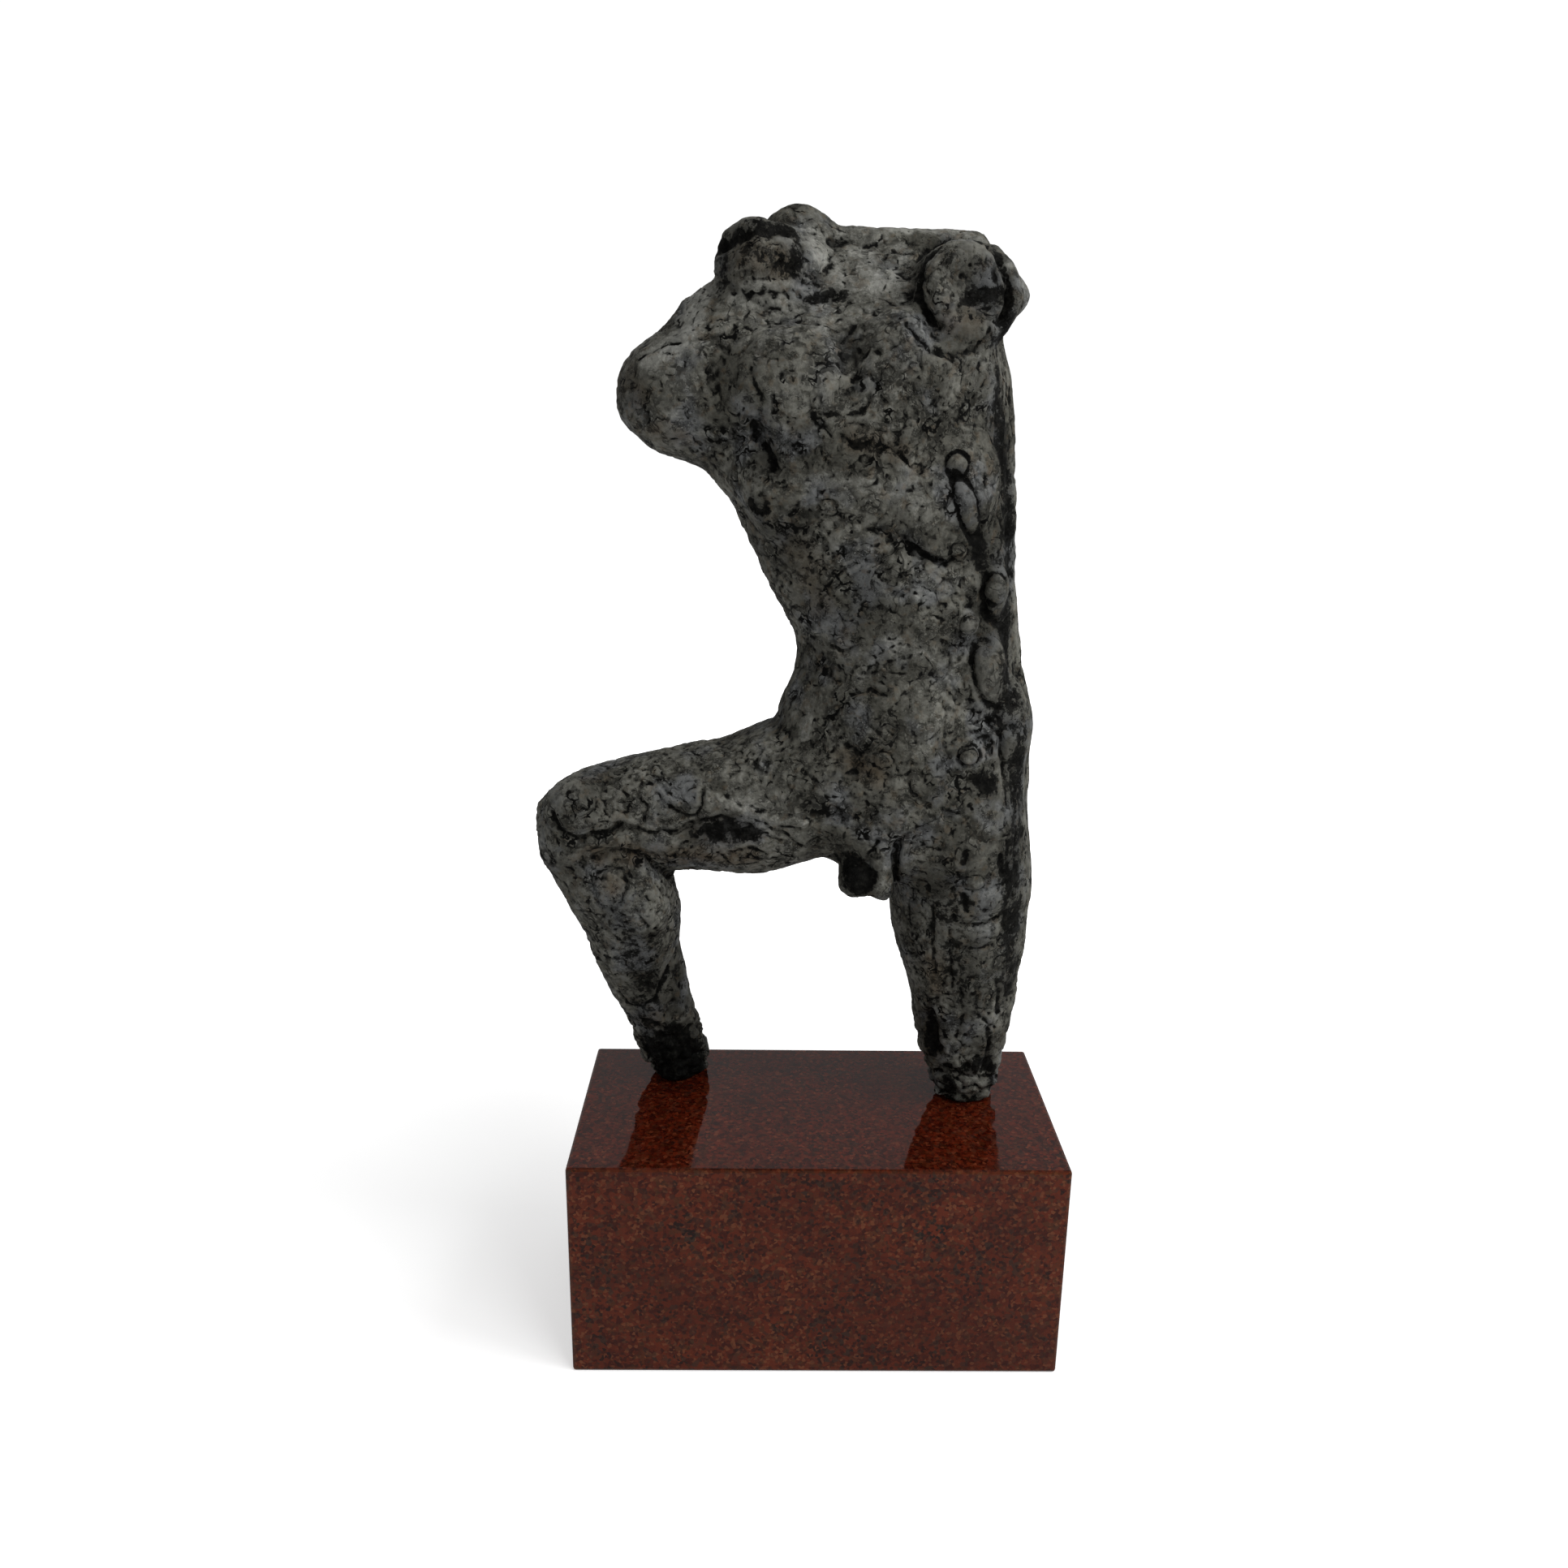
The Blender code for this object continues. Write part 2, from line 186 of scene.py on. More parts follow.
SWELLS = (
    Swell(((54, 344), (62, 336), (66, 326)), 6.0, 1.9),
    Swell(((-18, 356), (-10, 357)), 7.0, 1.3),
    Swell(((-46, 348), (-46, 338)), 7.0, 1.3),
    Swell(((-70, 310), (-74, 304)), 9.0, 0.9),
    Swell(((-108, 146), (-98, 153), (-88, 156)), 9.0, 1.4),
    Swell(((-42, 166),), 7.0, 1.4),
    Swell(((-92, 66), (-84, 46)), 8.0, 1.3),
    Swell(((70, 200), (73, 180)), 9.0, 0.8),
    Swell(((-34, 342), (-22, 343)), 6.0, -1.4),
    Swell(((-54, 127), (-34, 128)), 6.0, -1.3),
    Swell(((-62, 40), (-60, 24)), 6.0, -1.0),
    Swell(((-86, 100), (-76, 92)), 12.0, 0.6),
    Swell(((46, 330), (50, 323)), 8.0, -1.8),
    Swell(((54, 4), (58, 4)), 3.5, 1.5),
)

CREASES = (
    Crease(((-28, 283), (-27, 278)), 3.6, 1.8, 1.0),
    Crease(((-24, 275), (-21, 270), (-20, 266)), 2.4, 1.6, 1.0),
    Crease(((-29, 300), (-27, 294), (-25, 290)), 2.0, 0.8),
    Crease(((-25, 257),), 2.2, 1.0, 0.9),
    Crease(((-25, 250),), 2.0, 0.9, 0.9),
    Crease(((-23, 254), (-9, 257)), 1.6, -0.5, 0.0),
    Crease(((-69, 304), (-59, 309), (-51, 310), (-44, 311), (-37, 307)), 2.2, 0.9, 0.6),
    Crease(((27, 242), (31, 239), (36, 236), (43, 233), (46, 235)), 2.6, 2.4, 1.0),
    Crease(((-2, 227), (3, 234), (10, 238), (18, 238), (26, 241)), 2.0, -0.7, 0.0),
    Crease(((0, 224), (5, 230), (11, 234), (18, 234)), 1.8, 0.6, 0.5),
    Crease(((-40, 343), (-33, 345), (-27, 347), (-18, 348)), 4.4, 2.2, 1.0),
    Crease(((-17, 346), (-12, 343), (-10, 339), (-12, 336)), 1.8, 0.8, 0.8),
    Crease(((-14, 328), (-10, 324), (-6, 324), (1, 325)), 1.8, 0.8, 0.8),
    Crease(((-40, 333), (-28, 329), (-16, 330)), 2.2, -0.7, 0.0),
    Crease(((18, 340), (23, 343), (29, 342)), 2.0, 0.9, 0.7),
    # The black along the top of the left shoulder's broken disc is partly painted shade of the crevice
    # behind it.
    Crease(
        ((31, 339), (35, 344), (42, 346), (50, 345), (57, 340), (61, 332), (62, 323), (58, 317)),
        2.4, 2.0, 1.0,
    ),
    Crease(((25, 316), (29, 311), (33, 307), (42, 304)), 2.0, 1.2, 0.9),
    Crease(((35, 308), (41, 306), (50, 308), (55, 316)), 2.0, 1.0, 0.8),
    Crease(((38, 343), (33, 338), (31, 334), (30, 328), (32, 321), (36, 316)), 2.4, 2.0, 1.0),
    Crease(((48, 345), (54, 342), (59, 336), (62, 327), (60, 319)), 2.0, 1.4, 1.1),
    Crease(
        (
            (51, 162), (53, 164.5), (56, 165), (59, 163), (60, 160),
            (57, 157.5), (53, 157.5), (51, 160), (51, 162),
        ),
        1.7, 1.0, 1.3,
    ),
    Crease(((44, 333), (49, 329), (54, 327)), 2.0, 0.7, 0.8),
    Crease(((-6, 302), (0, 303), (4, 300)), 1.7, 0.7),
    Crease(((7, 297), (13, 300), (15, 295)), 1.7, 0.7),
    Crease(((13, 291), (10, 286), (2, 285), (-5, 286)), 1.8, 0.7),
    Crease(((3, 278), (8, 274), (13, 276)), 2.0, 0.9, 0.8),
    Crease(((16, 272), (20, 275), (26, 270)), 2.0, 1.0, 0.9),
    Crease(((-9, 261), (2, 262), (14, 263)), 2.2, -0.6, 0.0),
    Crease(((1, 254),), 2.4, 0.8, 0.8),
    Crease(((-9, 244),), 2.0, 0.7, 0.8),
    Crease(((-14, 224),), 1.8, 0.6, 0.7),
    Crease(((59, 229), (58, 221), (60, 213), (66, 209), (70, 211)), 2.6, 1.5, 1.0),
    Crease(((55, 196), (57, 189), (61, 181), (66, 178)), 2.2, 1.3, 1.0),
    Crease(((62, 174), (67, 167), (69, 159)), 1.9, 1.0, 0.9),
    Crease(((47, 167), (52, 171), (60, 171), (65, 167)), 1.8, -0.6, 0.0),
    Crease(((60, 150),), 2.4, 0.9, 0.9),
    Crease(((65, 156),), 2.2, 0.8, 0.9),
    Crease(((9, 163), (13, 161), (17, 163)), 2.6, 1.1, 0.9),
    Crease(((16, 177), (16, 173), (21, 169)), 1.8, 0.7, 0.7),
    Crease(((24, 157),), 1.8, 0.8, 0.9),
    Crease(((10, 186), (16, 187), (22, 186)), 2.0, -0.8, 0.0),
    Crease(((10, 183), (16, 184), (23, 183)), 1.6, 0.7, 0.7),
    Crease(((31, 155), (34, 146), (41, 141)), 1.9, 0.8, 0.7),
    Crease(((22, 224), (27, 221), (31, 219)), 2.0, 0.5, 0.6),
    Crease(((2, 201), (6, 199), (11, 201)), 1.7, 0.6, 0.7),
    Crease(((29, 126), (29, 117), (29, 107)), 2.8, 2.2, 1.0),
    Crease(((21, 126), (18, 120), (19, 110)), 2.0, 1.2, 0.9),
    Crease(((-105, 135), (-103, 129), (-98, 125), (-92, 125), (-84, 127), (-79, 130)), 2.6, 1.6, 1.0),
    Crease(((-80, 131), (-72, 128), (-66, 127), (-58, 128), (-52, 131)), 2.0, 1.2, 0.9),
    Crease(((-60, 127), (-50, 131), (-40, 134), (-30, 131), (-22, 128)), 2.2, 1.2, 0.9),
    Crease(((-52, 121), (-46, 124), (-40, 123)), 1.8, 0.8, 0.8),
    Crease(((-36, 119), (-28, 121), (-22, 118)), 1.8, 0.8, 0.8),
    Crease(((-49, 143), (-47, 134), (-46, 122)), 1.8, -0.8, 0.0),
    Crease(((-60, 138), (-55, 135), (-50, 134), (-47, 139), (-47, 144)), 2.0, 1.3, 0.9),
    Crease(((-65, 145), (-61, 141), (-57, 139)), 1.8, -0.8, 0.0),
    Crease(((-44, 143), (-33, 137), (-22, 134), (-8, 133)), 2.6, -1.2, 0.0),
    Crease(((-22, 131), (-14, 127), (-8, 122)), 1.8, 0.7, 0.7),
    Crease(((-74, 143), (-69, 138), (-70, 132)), 1.8, 0.8, 0.7),
    Crease(((-40, 118), (-36, 112), (-26, 113)), 1.6, 0.6, 0.7),
    Crease(((-28, 157),), 2.2, 0.8, 0.8),
    Crease(((-69, 148), (-64, 147)), 1.6, 0.5, 0.6),
    Crease(((-90, 116), (-84, 119), (-78, 119), (-71, 116), (-65, 108), (-61, 99)), 2.2, 1.1, 0.6),
    Crease(((-88, 112), (-84, 114), (-78, 113), (-75, 106), (-77, 99)), 1.8, -0.7, 0.0),
    Crease(((-74, 96), (-70, 88), (-69, 78)), 1.8, 0.7, 0.7),
    Crease(((-86, 84), (-80, 78), (-74, 76)), 1.8, 0.7, 0.7),
    Crease(((-71, 106),), 2.0, 0.7, 0.7),
    Crease(((-67, 85),), 2.0, 0.8, 0.8),
    Crease(((-84, 50), (-80, 44), (-74, 43), (-69, 47), (-66, 54), (-63, 61), (-60, 68)), 2.2, 1.7, 1.0),
    Crease(((-63, 58), (-60, 48), (-58, 38)), 2.2, -1.0, 0.4),
    Crease(((-74, 36), (-68, 34), (-64, 30)), 2.0, 1.2, 1.0),
    Crease(((-66, 27), (-60, 24), (-55, 28)), 2.4, 1.5, 1.0),
    Crease(((-64, 14), (-57, 11), (-51, 14)), 2.2, 1.3, 1.0),
    Crease(((-60, 22), (-58, 12)), 2.4, 1.2, 1.0),
    Crease(((61, 305), (60, 282), (62, 262), (65, 246)), 1.6, 0.8, 0.9),
    Crease(((64, 300), (63, 275), (65, 258)), 1.5, -0.6, 0.0),
    Crease(((67, 296), (67, 268), (68, 240)), 1.6, 0.7, 0.9),
    Crease(((66, 190), (67, 172), (70, 150), (71, 132)), 1.6, 0.8, 0.9),
    Crease(((74, 152), (76, 126), (77, 100)), 1.8, 0.9, 0.9),
    Crease(((56, 300), (50, 292), (48, 282)), 1.6, 0.6, 0.7),
    Crease(((65, 97),), 2.4, 1.0, 0.9),
    Crease(((56, 123), (55, 118)), 3.0, 1.7, 1.0),
    Crease(((70, 120), (71, 113)), 3.0, 1.7, 1.0),
    Crease(((56, 103), (58, 97)), 2.2, 1.2, 0.9),
    Crease(((65, 175), (72, 171)), 2.4, 1.2, 0.9),
    Crease(((57, 121),), 1.8, 0.7, 0.7),
    Crease(((64, 61),), 2.0, 0.8, 0.8),
    Crease(((72, 126), (73, 115)), 1.8, 0.8, 0.9),
    Crease(((53, 95), (54, 91), (62, 90), (71, 92)), 2.0, 1.1, 0.9),
    Crease(((55, 80), (63, 79), (70, 80)), 1.8, 1.0, 0.9),
    Crease(((55, 64), (64, 66)), 1.8, 1.0, 0.9),
    Crease(((52, 87), (53, 73), (55, 60)), 1.7, 0.9, 0.8),
    Crease(((73, 64), (74, 56), (75, 47)), 2.4, 0.8, 0.8),
    Crease(((65, 57), (66, 48), (74, 40)), 1.8, 0.8, 0.8),
    Crease(((48, 44), (49, 36), (51, 27)), 4.4, 2.8, 1.0),
    Crease(((64, 22),), 3.0, 1.4, 0.9),
    Crease(((52, 15), (60, 18), (71, 14)), 2.0, 1.1, 0.9),
    Crease(((71, 40), (72, 30), (70, 18)), 2.0, 1.2, 1.0),
    Crease(((45, 96), (46, 80), (48, 66)), 1.8, 0.7, 0.8),
    Crease(((58, 60), (60, 48), (58, 36)), 1.8, 0.8, 0.8),
    # The back, the flanks and the far side are guessed, in keeping and plainer.
    Crease(((2, 318), (4, 290), (8, 262), (10, 232), (14, 200), (18, 172)), 3.2, 0.9, 0.6, Side.BACK),
    Crease(((-34, 306), (-22, 290), (-12, 276)), 2.4, 0.8, 0.6, Side.BACK),
    Crease(((38, 300), (30, 286), (22, 272)), 2.4, 0.8, 0.6, Side.BACK),
    Crease(((-10, 232), (0, 226), (10, 228)), 2.0, 0.7, 0.6, Side.BACK),
    Crease(((26, 214), (38, 206), (52, 204)), 2.0, 0.7, 0.6, Side.BACK),
    Crease(((20, 140), (38, 126), (60, 124)), 2.6, 1.0, 0.8, Side.BACK),
    Crease(((-62, 128), (-46, 122), (-30, 124)), 2.2, 0.9, 0.7, Side.BACK),
    Crease(((50, 96), (58, 92), (68, 94)), 2.0, 0.8, 0.7, Side.BACK),
    Crease(((-76, 90), (-72, 74), (-66, 58)), 2.0, 0.8, 0.7, Side.BACK),
    Crease(((6, 300), (10, 270), (8, 236)), 2.4, 0.9, 0.7, Side.LEFT_FLANK),
    Crease(((12, 214), (16, 190), (14, 160)), 2.4, 0.9, 0.7, Side.LEFT_FLANK),
    Crease(((10, 128), (14, 100), (16, 70)), 2.2, 0.9, 0.7, Side.LEFT_FLANK),
    Crease(((4, 296), (10, 288), (18, 286)), 2.2, 0.8, 0.7, Side.RIGHT_FLANK),
    Crease(((2, 116), (6, 96), (10, 74)), 2.0, 0.8, 0.7, Side.RIGHT_FLANK),
)

PELLETS = (
    Pellet((45, 269), (3.8, 4.0), 0.9, 1.3),
    Pellet((50, 254), (3.6, 11.5), 0.7, 1.4, -25),
    Pellet((48, 237), (3.2, 3.0), 0.9, 0.6),
    Pellet((63, 224), (4.2, 5.4), 0.9, 0.7),
    Pellet((54, 210), (3.6, 3.4), 1.0, 0.7),
    Pellet((63, 191), (5.4, 12.0), 0.6, 0.45, -14),
    Pellet((55, 161), (3.8, 2.8), 1.1, 1.5),
    Pellet((22, 159), (3.4, 3.0), 1.2, 0.3),
    Pellet((-1, 253), (3.0, 2.6), 0.8, 0.4),
    Pellet((32, 252), (9.0, 8.0), 0.8),
    Pellet((42, 338), (5.0, 4.0), 0.8, 0.2),
    Pellet((-95, 138), (9.5, 8.5), 0.8, 0.2),
    Pellet((-84, 104), (5.6, 8.4), 0.7, 0.35, 8),
    Pellet((-68, 24), (3.0, 3.0), 0.9, 0.5),
    Pellet((-58, 4), (3.0, 3.4), 0.8, 0.3),
    Pellet((-51, 15), (2.6, 3.6), 0.8, 0.3),
    Pellet((60, 109), (3.8, 3.2), 0.9, 0.4),
    Pellet((14, 111), (6.0, 5.0), 0.6, 0.5),
    Pellet((56, 7), (4.0, 3.6), 0.8, 0.4),
    Pellet((64, 3), (3.6, 2.6), 0.8, 0.4),
    Pellet((36, 170), (9.0, 12.0), 0.7, 0.0, 10),
    Pellet((-50, 326), (12.0, 8.0), 0.7, 0.0),
    Pellet((30, 268), (12.0, 16.0), 0.7, 0.0, 15, Side.BACK),
    Pellet((-20, 268), (13.0, 17.0), 0.7, 0.3, -12, Side.BACK),
    Pellet((44, 150), (14.0, 13.0), 0.8, 0.3, 0, Side.BACK),
    Pellet((2, 152), (13.0, 12.0), 0.8, 0.3, 0, Side.BACK),
    Pellet((62, 76), (9.0, 15.0), 0.7, 0.3, 0, Side.BACK),
    Pellet((8, 252), (8.0, 12.0), 0.7, 0.4, 8, Side.LEFT_FLANK),
)

STAINS_SHADE_AND_LIGHT = (
    # Neck, shoulders and chest
    # Soot on the neck stump's broken face: dark wash, and also painted shade where it faces down.
    StainShadeAndLight(((-41, 343), (-34, 346), (-27, 348), (-17, 348)), 5.0, soot_and_shade=1.15),
    StainShadeAndLight(((-40, 340), (-38, 330)), 5.5, soot_and_shade=1.0),
    StainShadeAndLight(((-33, 339), (-20, 338)), 8.0, soot_and_shade=0.85, rust=0.5),
    StainShadeAndLight(((-13, 342), (-14, 333)), 4.5, soot_and_shade=1.1),
    StainShadeAndLight(((-40, 331), (-27, 329), (-15, 330)), 5.0, chalk_and_light=0.75),
    StainShadeAndLight(((-10, 324), (-5, 326), (3, 326)), 3.5, soot_and_shade=1.0),
    StainShadeAndLight(((44, 332), (50, 322)), 11.0, soot_and_shade=0.65),
    # The black along the disc's left and top rim, here and just below, also paints the shade of the crevice
    # behind it.
    StainShadeAndLight(((35, 341), (31, 333), (30, 326), (34, 317)), 4.0, soot_and_shade=1.25),
    StainShadeAndLight(((38, 344), (50, 345), (58, 340)), 3.2, soot_and_shade=1.1),
    # Chalk over the upper chest and along the top edge: pale, rubbed clay, and also painted light from
    # above, with a painted highlight along the top edge.
    StainShadeAndLight(((10, 342), (16, 330)), 9.0, chalk_and_light=0.8),
    StainShadeAndLight(((-6, 348), (-2, 338), (5, 330)), 8.0, chalk_and_light=0.8),
    StainShadeAndLight(((4, 350), (16, 349)), 8.0, chalk_and_light=0.6),
    StainShadeAndLight(((10, 352), (40, 352), (58, 346), (68, 330)), 4.5, chalk_and_light=0.75),
    StainShadeAndLight(((24, 342), (24, 332), (24, 322)), 6.5, chalk_and_light=0.65),
    StainShadeAndLight(((31, 338), (31, 328), (32, 320), (37, 312), (46, 307), (55, 311)), 4.5, soot_and_shade=0.6),
    StainShadeAndLight(((36, 345), (50, 345), (58, 339), (62, 330), (62, 321)), 3.0, soot_and_shade=0.6),
    StainShadeAndLight(((46, 324), (57, 327), (62, 323)), 5.5, soot_and_shade=1.1),
    StainShadeAndLight(((41, 316), (48, 319)), 5.0, soot_and_shade=0.5, rust=0.4),
    StainShadeAndLight(((44, 337), (38, 328), (50, 332)), 4.0, chalk_and_light=0.4),
    # Chalk on the shoulder tops: pale clay, and also painted light from above.
    StainShadeAndLight(((62, 337), (70, 330)), 4.0, chalk_and_light=0.8),
    StainShadeAndLight(((-46, 331), (-60, 322), (-70, 312)), 9.0, chalk_and_light=0.9),
    StainShadeAndLight(((-4, 318), (14, 322)), 10.0, chalk_and_light=0.5),
    StainShadeAndLight(((-73, 299), (-70, 292)), 5.0, soot_and_shade=0.7, rust=0.4),
    StainShadeAndLight(((-64, 279), (-55, 277)), 4.0, soot_and_shade=0.5, rust=0.6),
    StainShadeAndLight(((-58, 290), (-52, 300)), 7.0, chalk_and_light=0.35),
    StainShadeAndLight(((-58, 285),), 4.0, chalk_and_light=0.7),
    StainShadeAndLight(((-26, 284), (-21, 272)), 3.6, soot_and_shade=0.8),
    StainShadeAndLight(((-27, 281),), 3.4, soot_and_shade=1.3),
    StainShadeAndLight(((-24, 274), (-21, 267)), 3.4, soot_and_shade=1.2),
    StainShadeAndLight(((-26, 268),), 8.0, soot_and_shade=0.7),
    StainShadeAndLight(((-28, 253), (-24, 252)), 3.4, soot_and_shade=1.3),
    StainShadeAndLight(((-18, 244), (-10, 240)), 5.0, soot_and_shade=0.9),
    StainShadeAndLight(((-2, 312), (14, 314)), 9.0, chalk_and_light=0.25),
    StainShadeAndLight(((-32, 324), (-17, 322)), 8.0, chalk_and_light=0.7),
    StainShadeAndLight(((8, 277), (25, 274)), 4.5, soot_and_shade=0.7, rust=0.4),
    StainShadeAndLight(((-4, 288), (12, 290)), 6.0, soot_and_shade=0.35),
    # Ribs and flank
    StainShadeAndLight(((-12, 262), (14, 262)), 4.5, chalk_and_light=0.65),
    StainShadeAndLight(((32, 252), (24, 258)), 9.0, chalk_and_light=0.45),
    StainShadeAndLight(((-25, 254), (-25, 246)), 4.0, soot_and_shade=0.7),
    StainShadeAndLight(((49, 258), (53, 250)), 3.4, soot_and_shade=0.9),
    StainShadeAndLight(((56, 240), (57, 232)), 4.5, soot_and_shade=1.2),
    StainShadeAndLight(((60, 213), (67, 210)), 6.5, soot_and_shade=1.0),
    StainShadeAndLight(((61, 196), (62, 186)), 6.0, chalk_and_light=0.35),
    StainShadeAndLight(((60, 151), (64, 148)), 4.5, soot_and_shade=1.3),
    StainShadeAndLight(((56, 121),), 3.4, soot_and_shade=1.3),
    StainShadeAndLight(((70, 118),), 3.4, soot_and_shade=1.3),
    StainShadeAndLight(((56, 100), (70, 98)), 5.0, soot_and_shade=0.8),
    StainShadeAndLight(((65, 174), (72, 171)), 4.0, soot_and_shade=1.1),
    StainShadeAndLight(((55, 161),), 2.2, chalk_and_light=0.9),
    StainShadeAndLight(((20, 161), (12, 157)), 3.0, soot_and_shade=0.7),
    StainShadeAndLight(((52, 300), (60, 288), (64, 262)), 6.0, soot_and_shade=0.75),
    StainShadeAndLight(((60, 236), (62, 206), (66, 176)), 6.0, soot_and_shade=0.8),
    StainShadeAndLight(((70, 312), (68, 240), (69, 190), (75, 150), (76, 110), (80, 60)), 9.0, soot_and_shade=1.1),
    # Belly and hips
    StainShadeAndLight(((-12, 238), (-4, 218)), 8.0, soot_and_shade=0.4, rust=0.3),
    StainShadeAndLight(((14, 226), (14, 210)), 11.0, soot_and_shade=0.55),
    StainShadeAndLight(((2, 196), (6, 178)), 8.0, soot_and_shade=0.3),
    StainShadeAndLight(((35, 222),), 5.0, chalk_and_light=0.6),
    StainShadeAndLight(((12, 196), (16, 190)), 4.5, chalk_and_light=0.55),
    StainShadeAndLight(((24, 203), (38, 199)), 6.0, chalk_and_light=0.6),
    StainShadeAndLight(((34, 184), (38, 164)), 10.0, chalk_and_light=0.4),
    StainShadeAndLight(((-7, 178), (-7, 166)), 4.0, chalk_and_light=0.7),
    StainShadeAndLight(((8, 158), (20, 154)), 5.0, rust=0.6, soot_and_shade=0.3),
    StainShadeAndLight(((12, 163),), 4.0, soot_and_shade=0.7),
    StainShadeAndLight(((44, 136), (58, 128)), 8.0, chalk_and_light=0.25),
    # Right thigh, knee and shin
    # Chalk on the right thigh's top also paints light from above; the soot under the thigh and the broad
    # soot over the knee and shin also paint shade.
    StainShadeAndLight(((-43, 142), (-23, 135), (-8, 133)), 4.6, chalk_and_light=0.65),
    StainShadeAndLight(((-50, 127), (-40, 129), (-30, 128)), 5.0, soot_and_shade=1.4, rust=0.4),
    StainShadeAndLight(((-98, 141), (-86, 140)), 13.0, soot_and_shade=0.6),
    StainShadeAndLight(((-55, 141),), 6.0, soot_and_shade=0.35),
    StainShadeAndLight(((-34, 146), (-16, 142)), 8.0, chalk_and_light=0.45),
    StainShadeAndLight(((-92, 118), (-60, 116), (-28, 117)), 5.0, soot_and_shade=0.5, rust=0.7),
    StainShadeAndLight(((-104, 132), (-102, 116), (-94, 96)), 5.0, soot_and_shade=0.55),
    StainShadeAndLight(((-84, 105),), 5.0, rust=0.8),
    StainShadeAndLight(((-86, 98), (-74, 74)), 13.0, soot_and_shade=0.6),
    StainShadeAndLight(((-77, 70), (-72, 56)), 9.0, soot_and_shade=0.9),
    StainShadeAndLight(((-60, 58), (-58, 42)), 5.5, soot_and_shade=0.85),
    StainShadeAndLight(((-70, 36),), 4.5, rust=0.7, soot_and_shade=0.3),
    StainShadeAndLight(((-76, 46), (-68, 26)), 7.0, soot_and_shade=0.9),
    StainShadeAndLight(((-64, 20), (-57, 4)), 13.0, soot_and_shade=2.2),
    StainShadeAndLight(((42, 338), (50, 334), (52, 326)), 9.0, soot_and_shade=0.75),
    StainShadeAndLight(((53, 343), (59, 337), (62, 328)), 2.6, soot_and_shade=1.1),
    # Broad soot down the shin: dark wash, and also painted shade.
    StainShadeAndLight(((-82, 95), (-74, 62), (-68, 40)), 12.0, soot_and_shade=0.62),
    StainShadeAndLight(((64, 244), (68, 215), (70, 190)), 7.0, soot_and_shade=0.8),
    StainShadeAndLight(((-60, 5),), 3.0, chalk_and_light=1.0),
    StainShadeAndLight(((-68, 25),), 3.0, chalk_and_light=1.0),
    # Groin and left leg
    StainShadeAndLight(((12, 114), (16, 108)), 7.0, soot_and_shade=1.9),
    StainShadeAndLight(((24, 118), (24, 106)), 4.0, chalk_and_light=0.5),
    StainShadeAndLight(((33, 112), (38, 84), (46, 50)), 5.0, soot_and_shade=0.6),
    StainShadeAndLight(((47, 72), (49, 60)), 6.0, rust=0.6),
    # Broad soot down the left leg: dark wash, and also painted shade.
    StainShadeAndLight(((48, 104), (56, 78), (62, 56)), 13.0, soot_and_shade=0.75),
    StainShadeAndLight(((48, 42), (50, 28)), 6.0, soot_and_shade=1.1, rust=0.5),
    StainShadeAndLight(((66, 54), (64, 36)), 9.0, soot_and_shade=0.45),
    # The pale spot on the left knee: a painted highlight.
    StainShadeAndLight(((60, 109),), 4.0, chalk_and_light=0.5),
    StainShadeAndLight(((70, 38), (70, 20)), 5.0, soot_and_shade=0.7),
    StainShadeAndLight(((57, 19), (69, 22)), 4.0, soot_and_shade=1.3),
    StainShadeAndLight(((56, 12), (58, 6)), 3.4, soot_and_shade=1.2),
    StainShadeAndLight(((73, 24), (76, 6)), 4.0, soot_and_shade=1.3),
    StainShadeAndLight(((58, 1), (66, 0), (74, 1)), 2.5, soot_and_shade=1.0),
    StainShadeAndLight(((63, 10), (67, 15)), 3.4, chalk_and_light=0.8),
    StainShadeAndLight(((53, 4),), 2.6, chalk_and_light=1.0),
    # The back, guessed
    StainShadeAndLight(((-6, 262), (0, 200)), 14.0, soot_and_shade=0.4, side=Side.BACK),
    StainShadeAndLight(((40, 128), (8, 136)), 10.0, soot_and_shade=0.6, side=Side.BACK),
    StainShadeAndLight(((30, 284), (-22, 288)), 14.0, chalk_and_light=0.4, side=Side.BACK),
    StainShadeAndLight(((42, 156), (6, 158)), 12.0, chalk_and_light=0.4, side=Side.BACK),
    StainShadeAndLight(((10, 330), (40, 320)), 9.0, soot_and_shade=0.4, side=Side.BACK),
    StainShadeAndLight(((-62, 40), (-58, 6)), 12.0, soot_and_shade=0.9, side=Side.BACK),
    StainShadeAndLight(((58, 40), (60, 6)), 13.0, soot_and_shade=0.7, side=Side.BACK),
    StainShadeAndLight(((66, 90), (60, 60)), 11.0, soot_and_shade=0.4, side=Side.BACK),
)


# Working the clay


def waves(points: np.ndarray, span: float, seed: int, octaves: int = 1) -> np.ndarray:
    """Smooth noise at each point, about -1 to 1.

    Args:
        points: The points, in metres.
        span: The width of one wave, in metres.
        seed: A number that moves the pattern.
        octaves: How many ever finer layers it has.

    Returns:
        One value for each point.
    """
    moved = points / span + seed * 17.31
    if octaves == 1:
        return np.array([noise.noise(p) for p in moved.tolist()])
    return np.array([noise.fractal(p, 1.0, 2.1, octaves) for p in moved.tolist()])


def warped(points: np.ndarray, span: float, reach: float, seed: int) -> np.ndarray:
    """The points pushed about by noise, which makes a pattern read at them irregular.

    Args:
        points: The points, in metres.
        span: The width of one wave of the push, in metres.
        reach: The furthest push, in metres.
        seed: A number that moves the pattern.

    Returns:
        The pushed points.
    """
    moved = points / span + seed * 11.7
    return points + reach * np.array([tuple(noise.noise_vector(p)) for p in moved.tolist()])


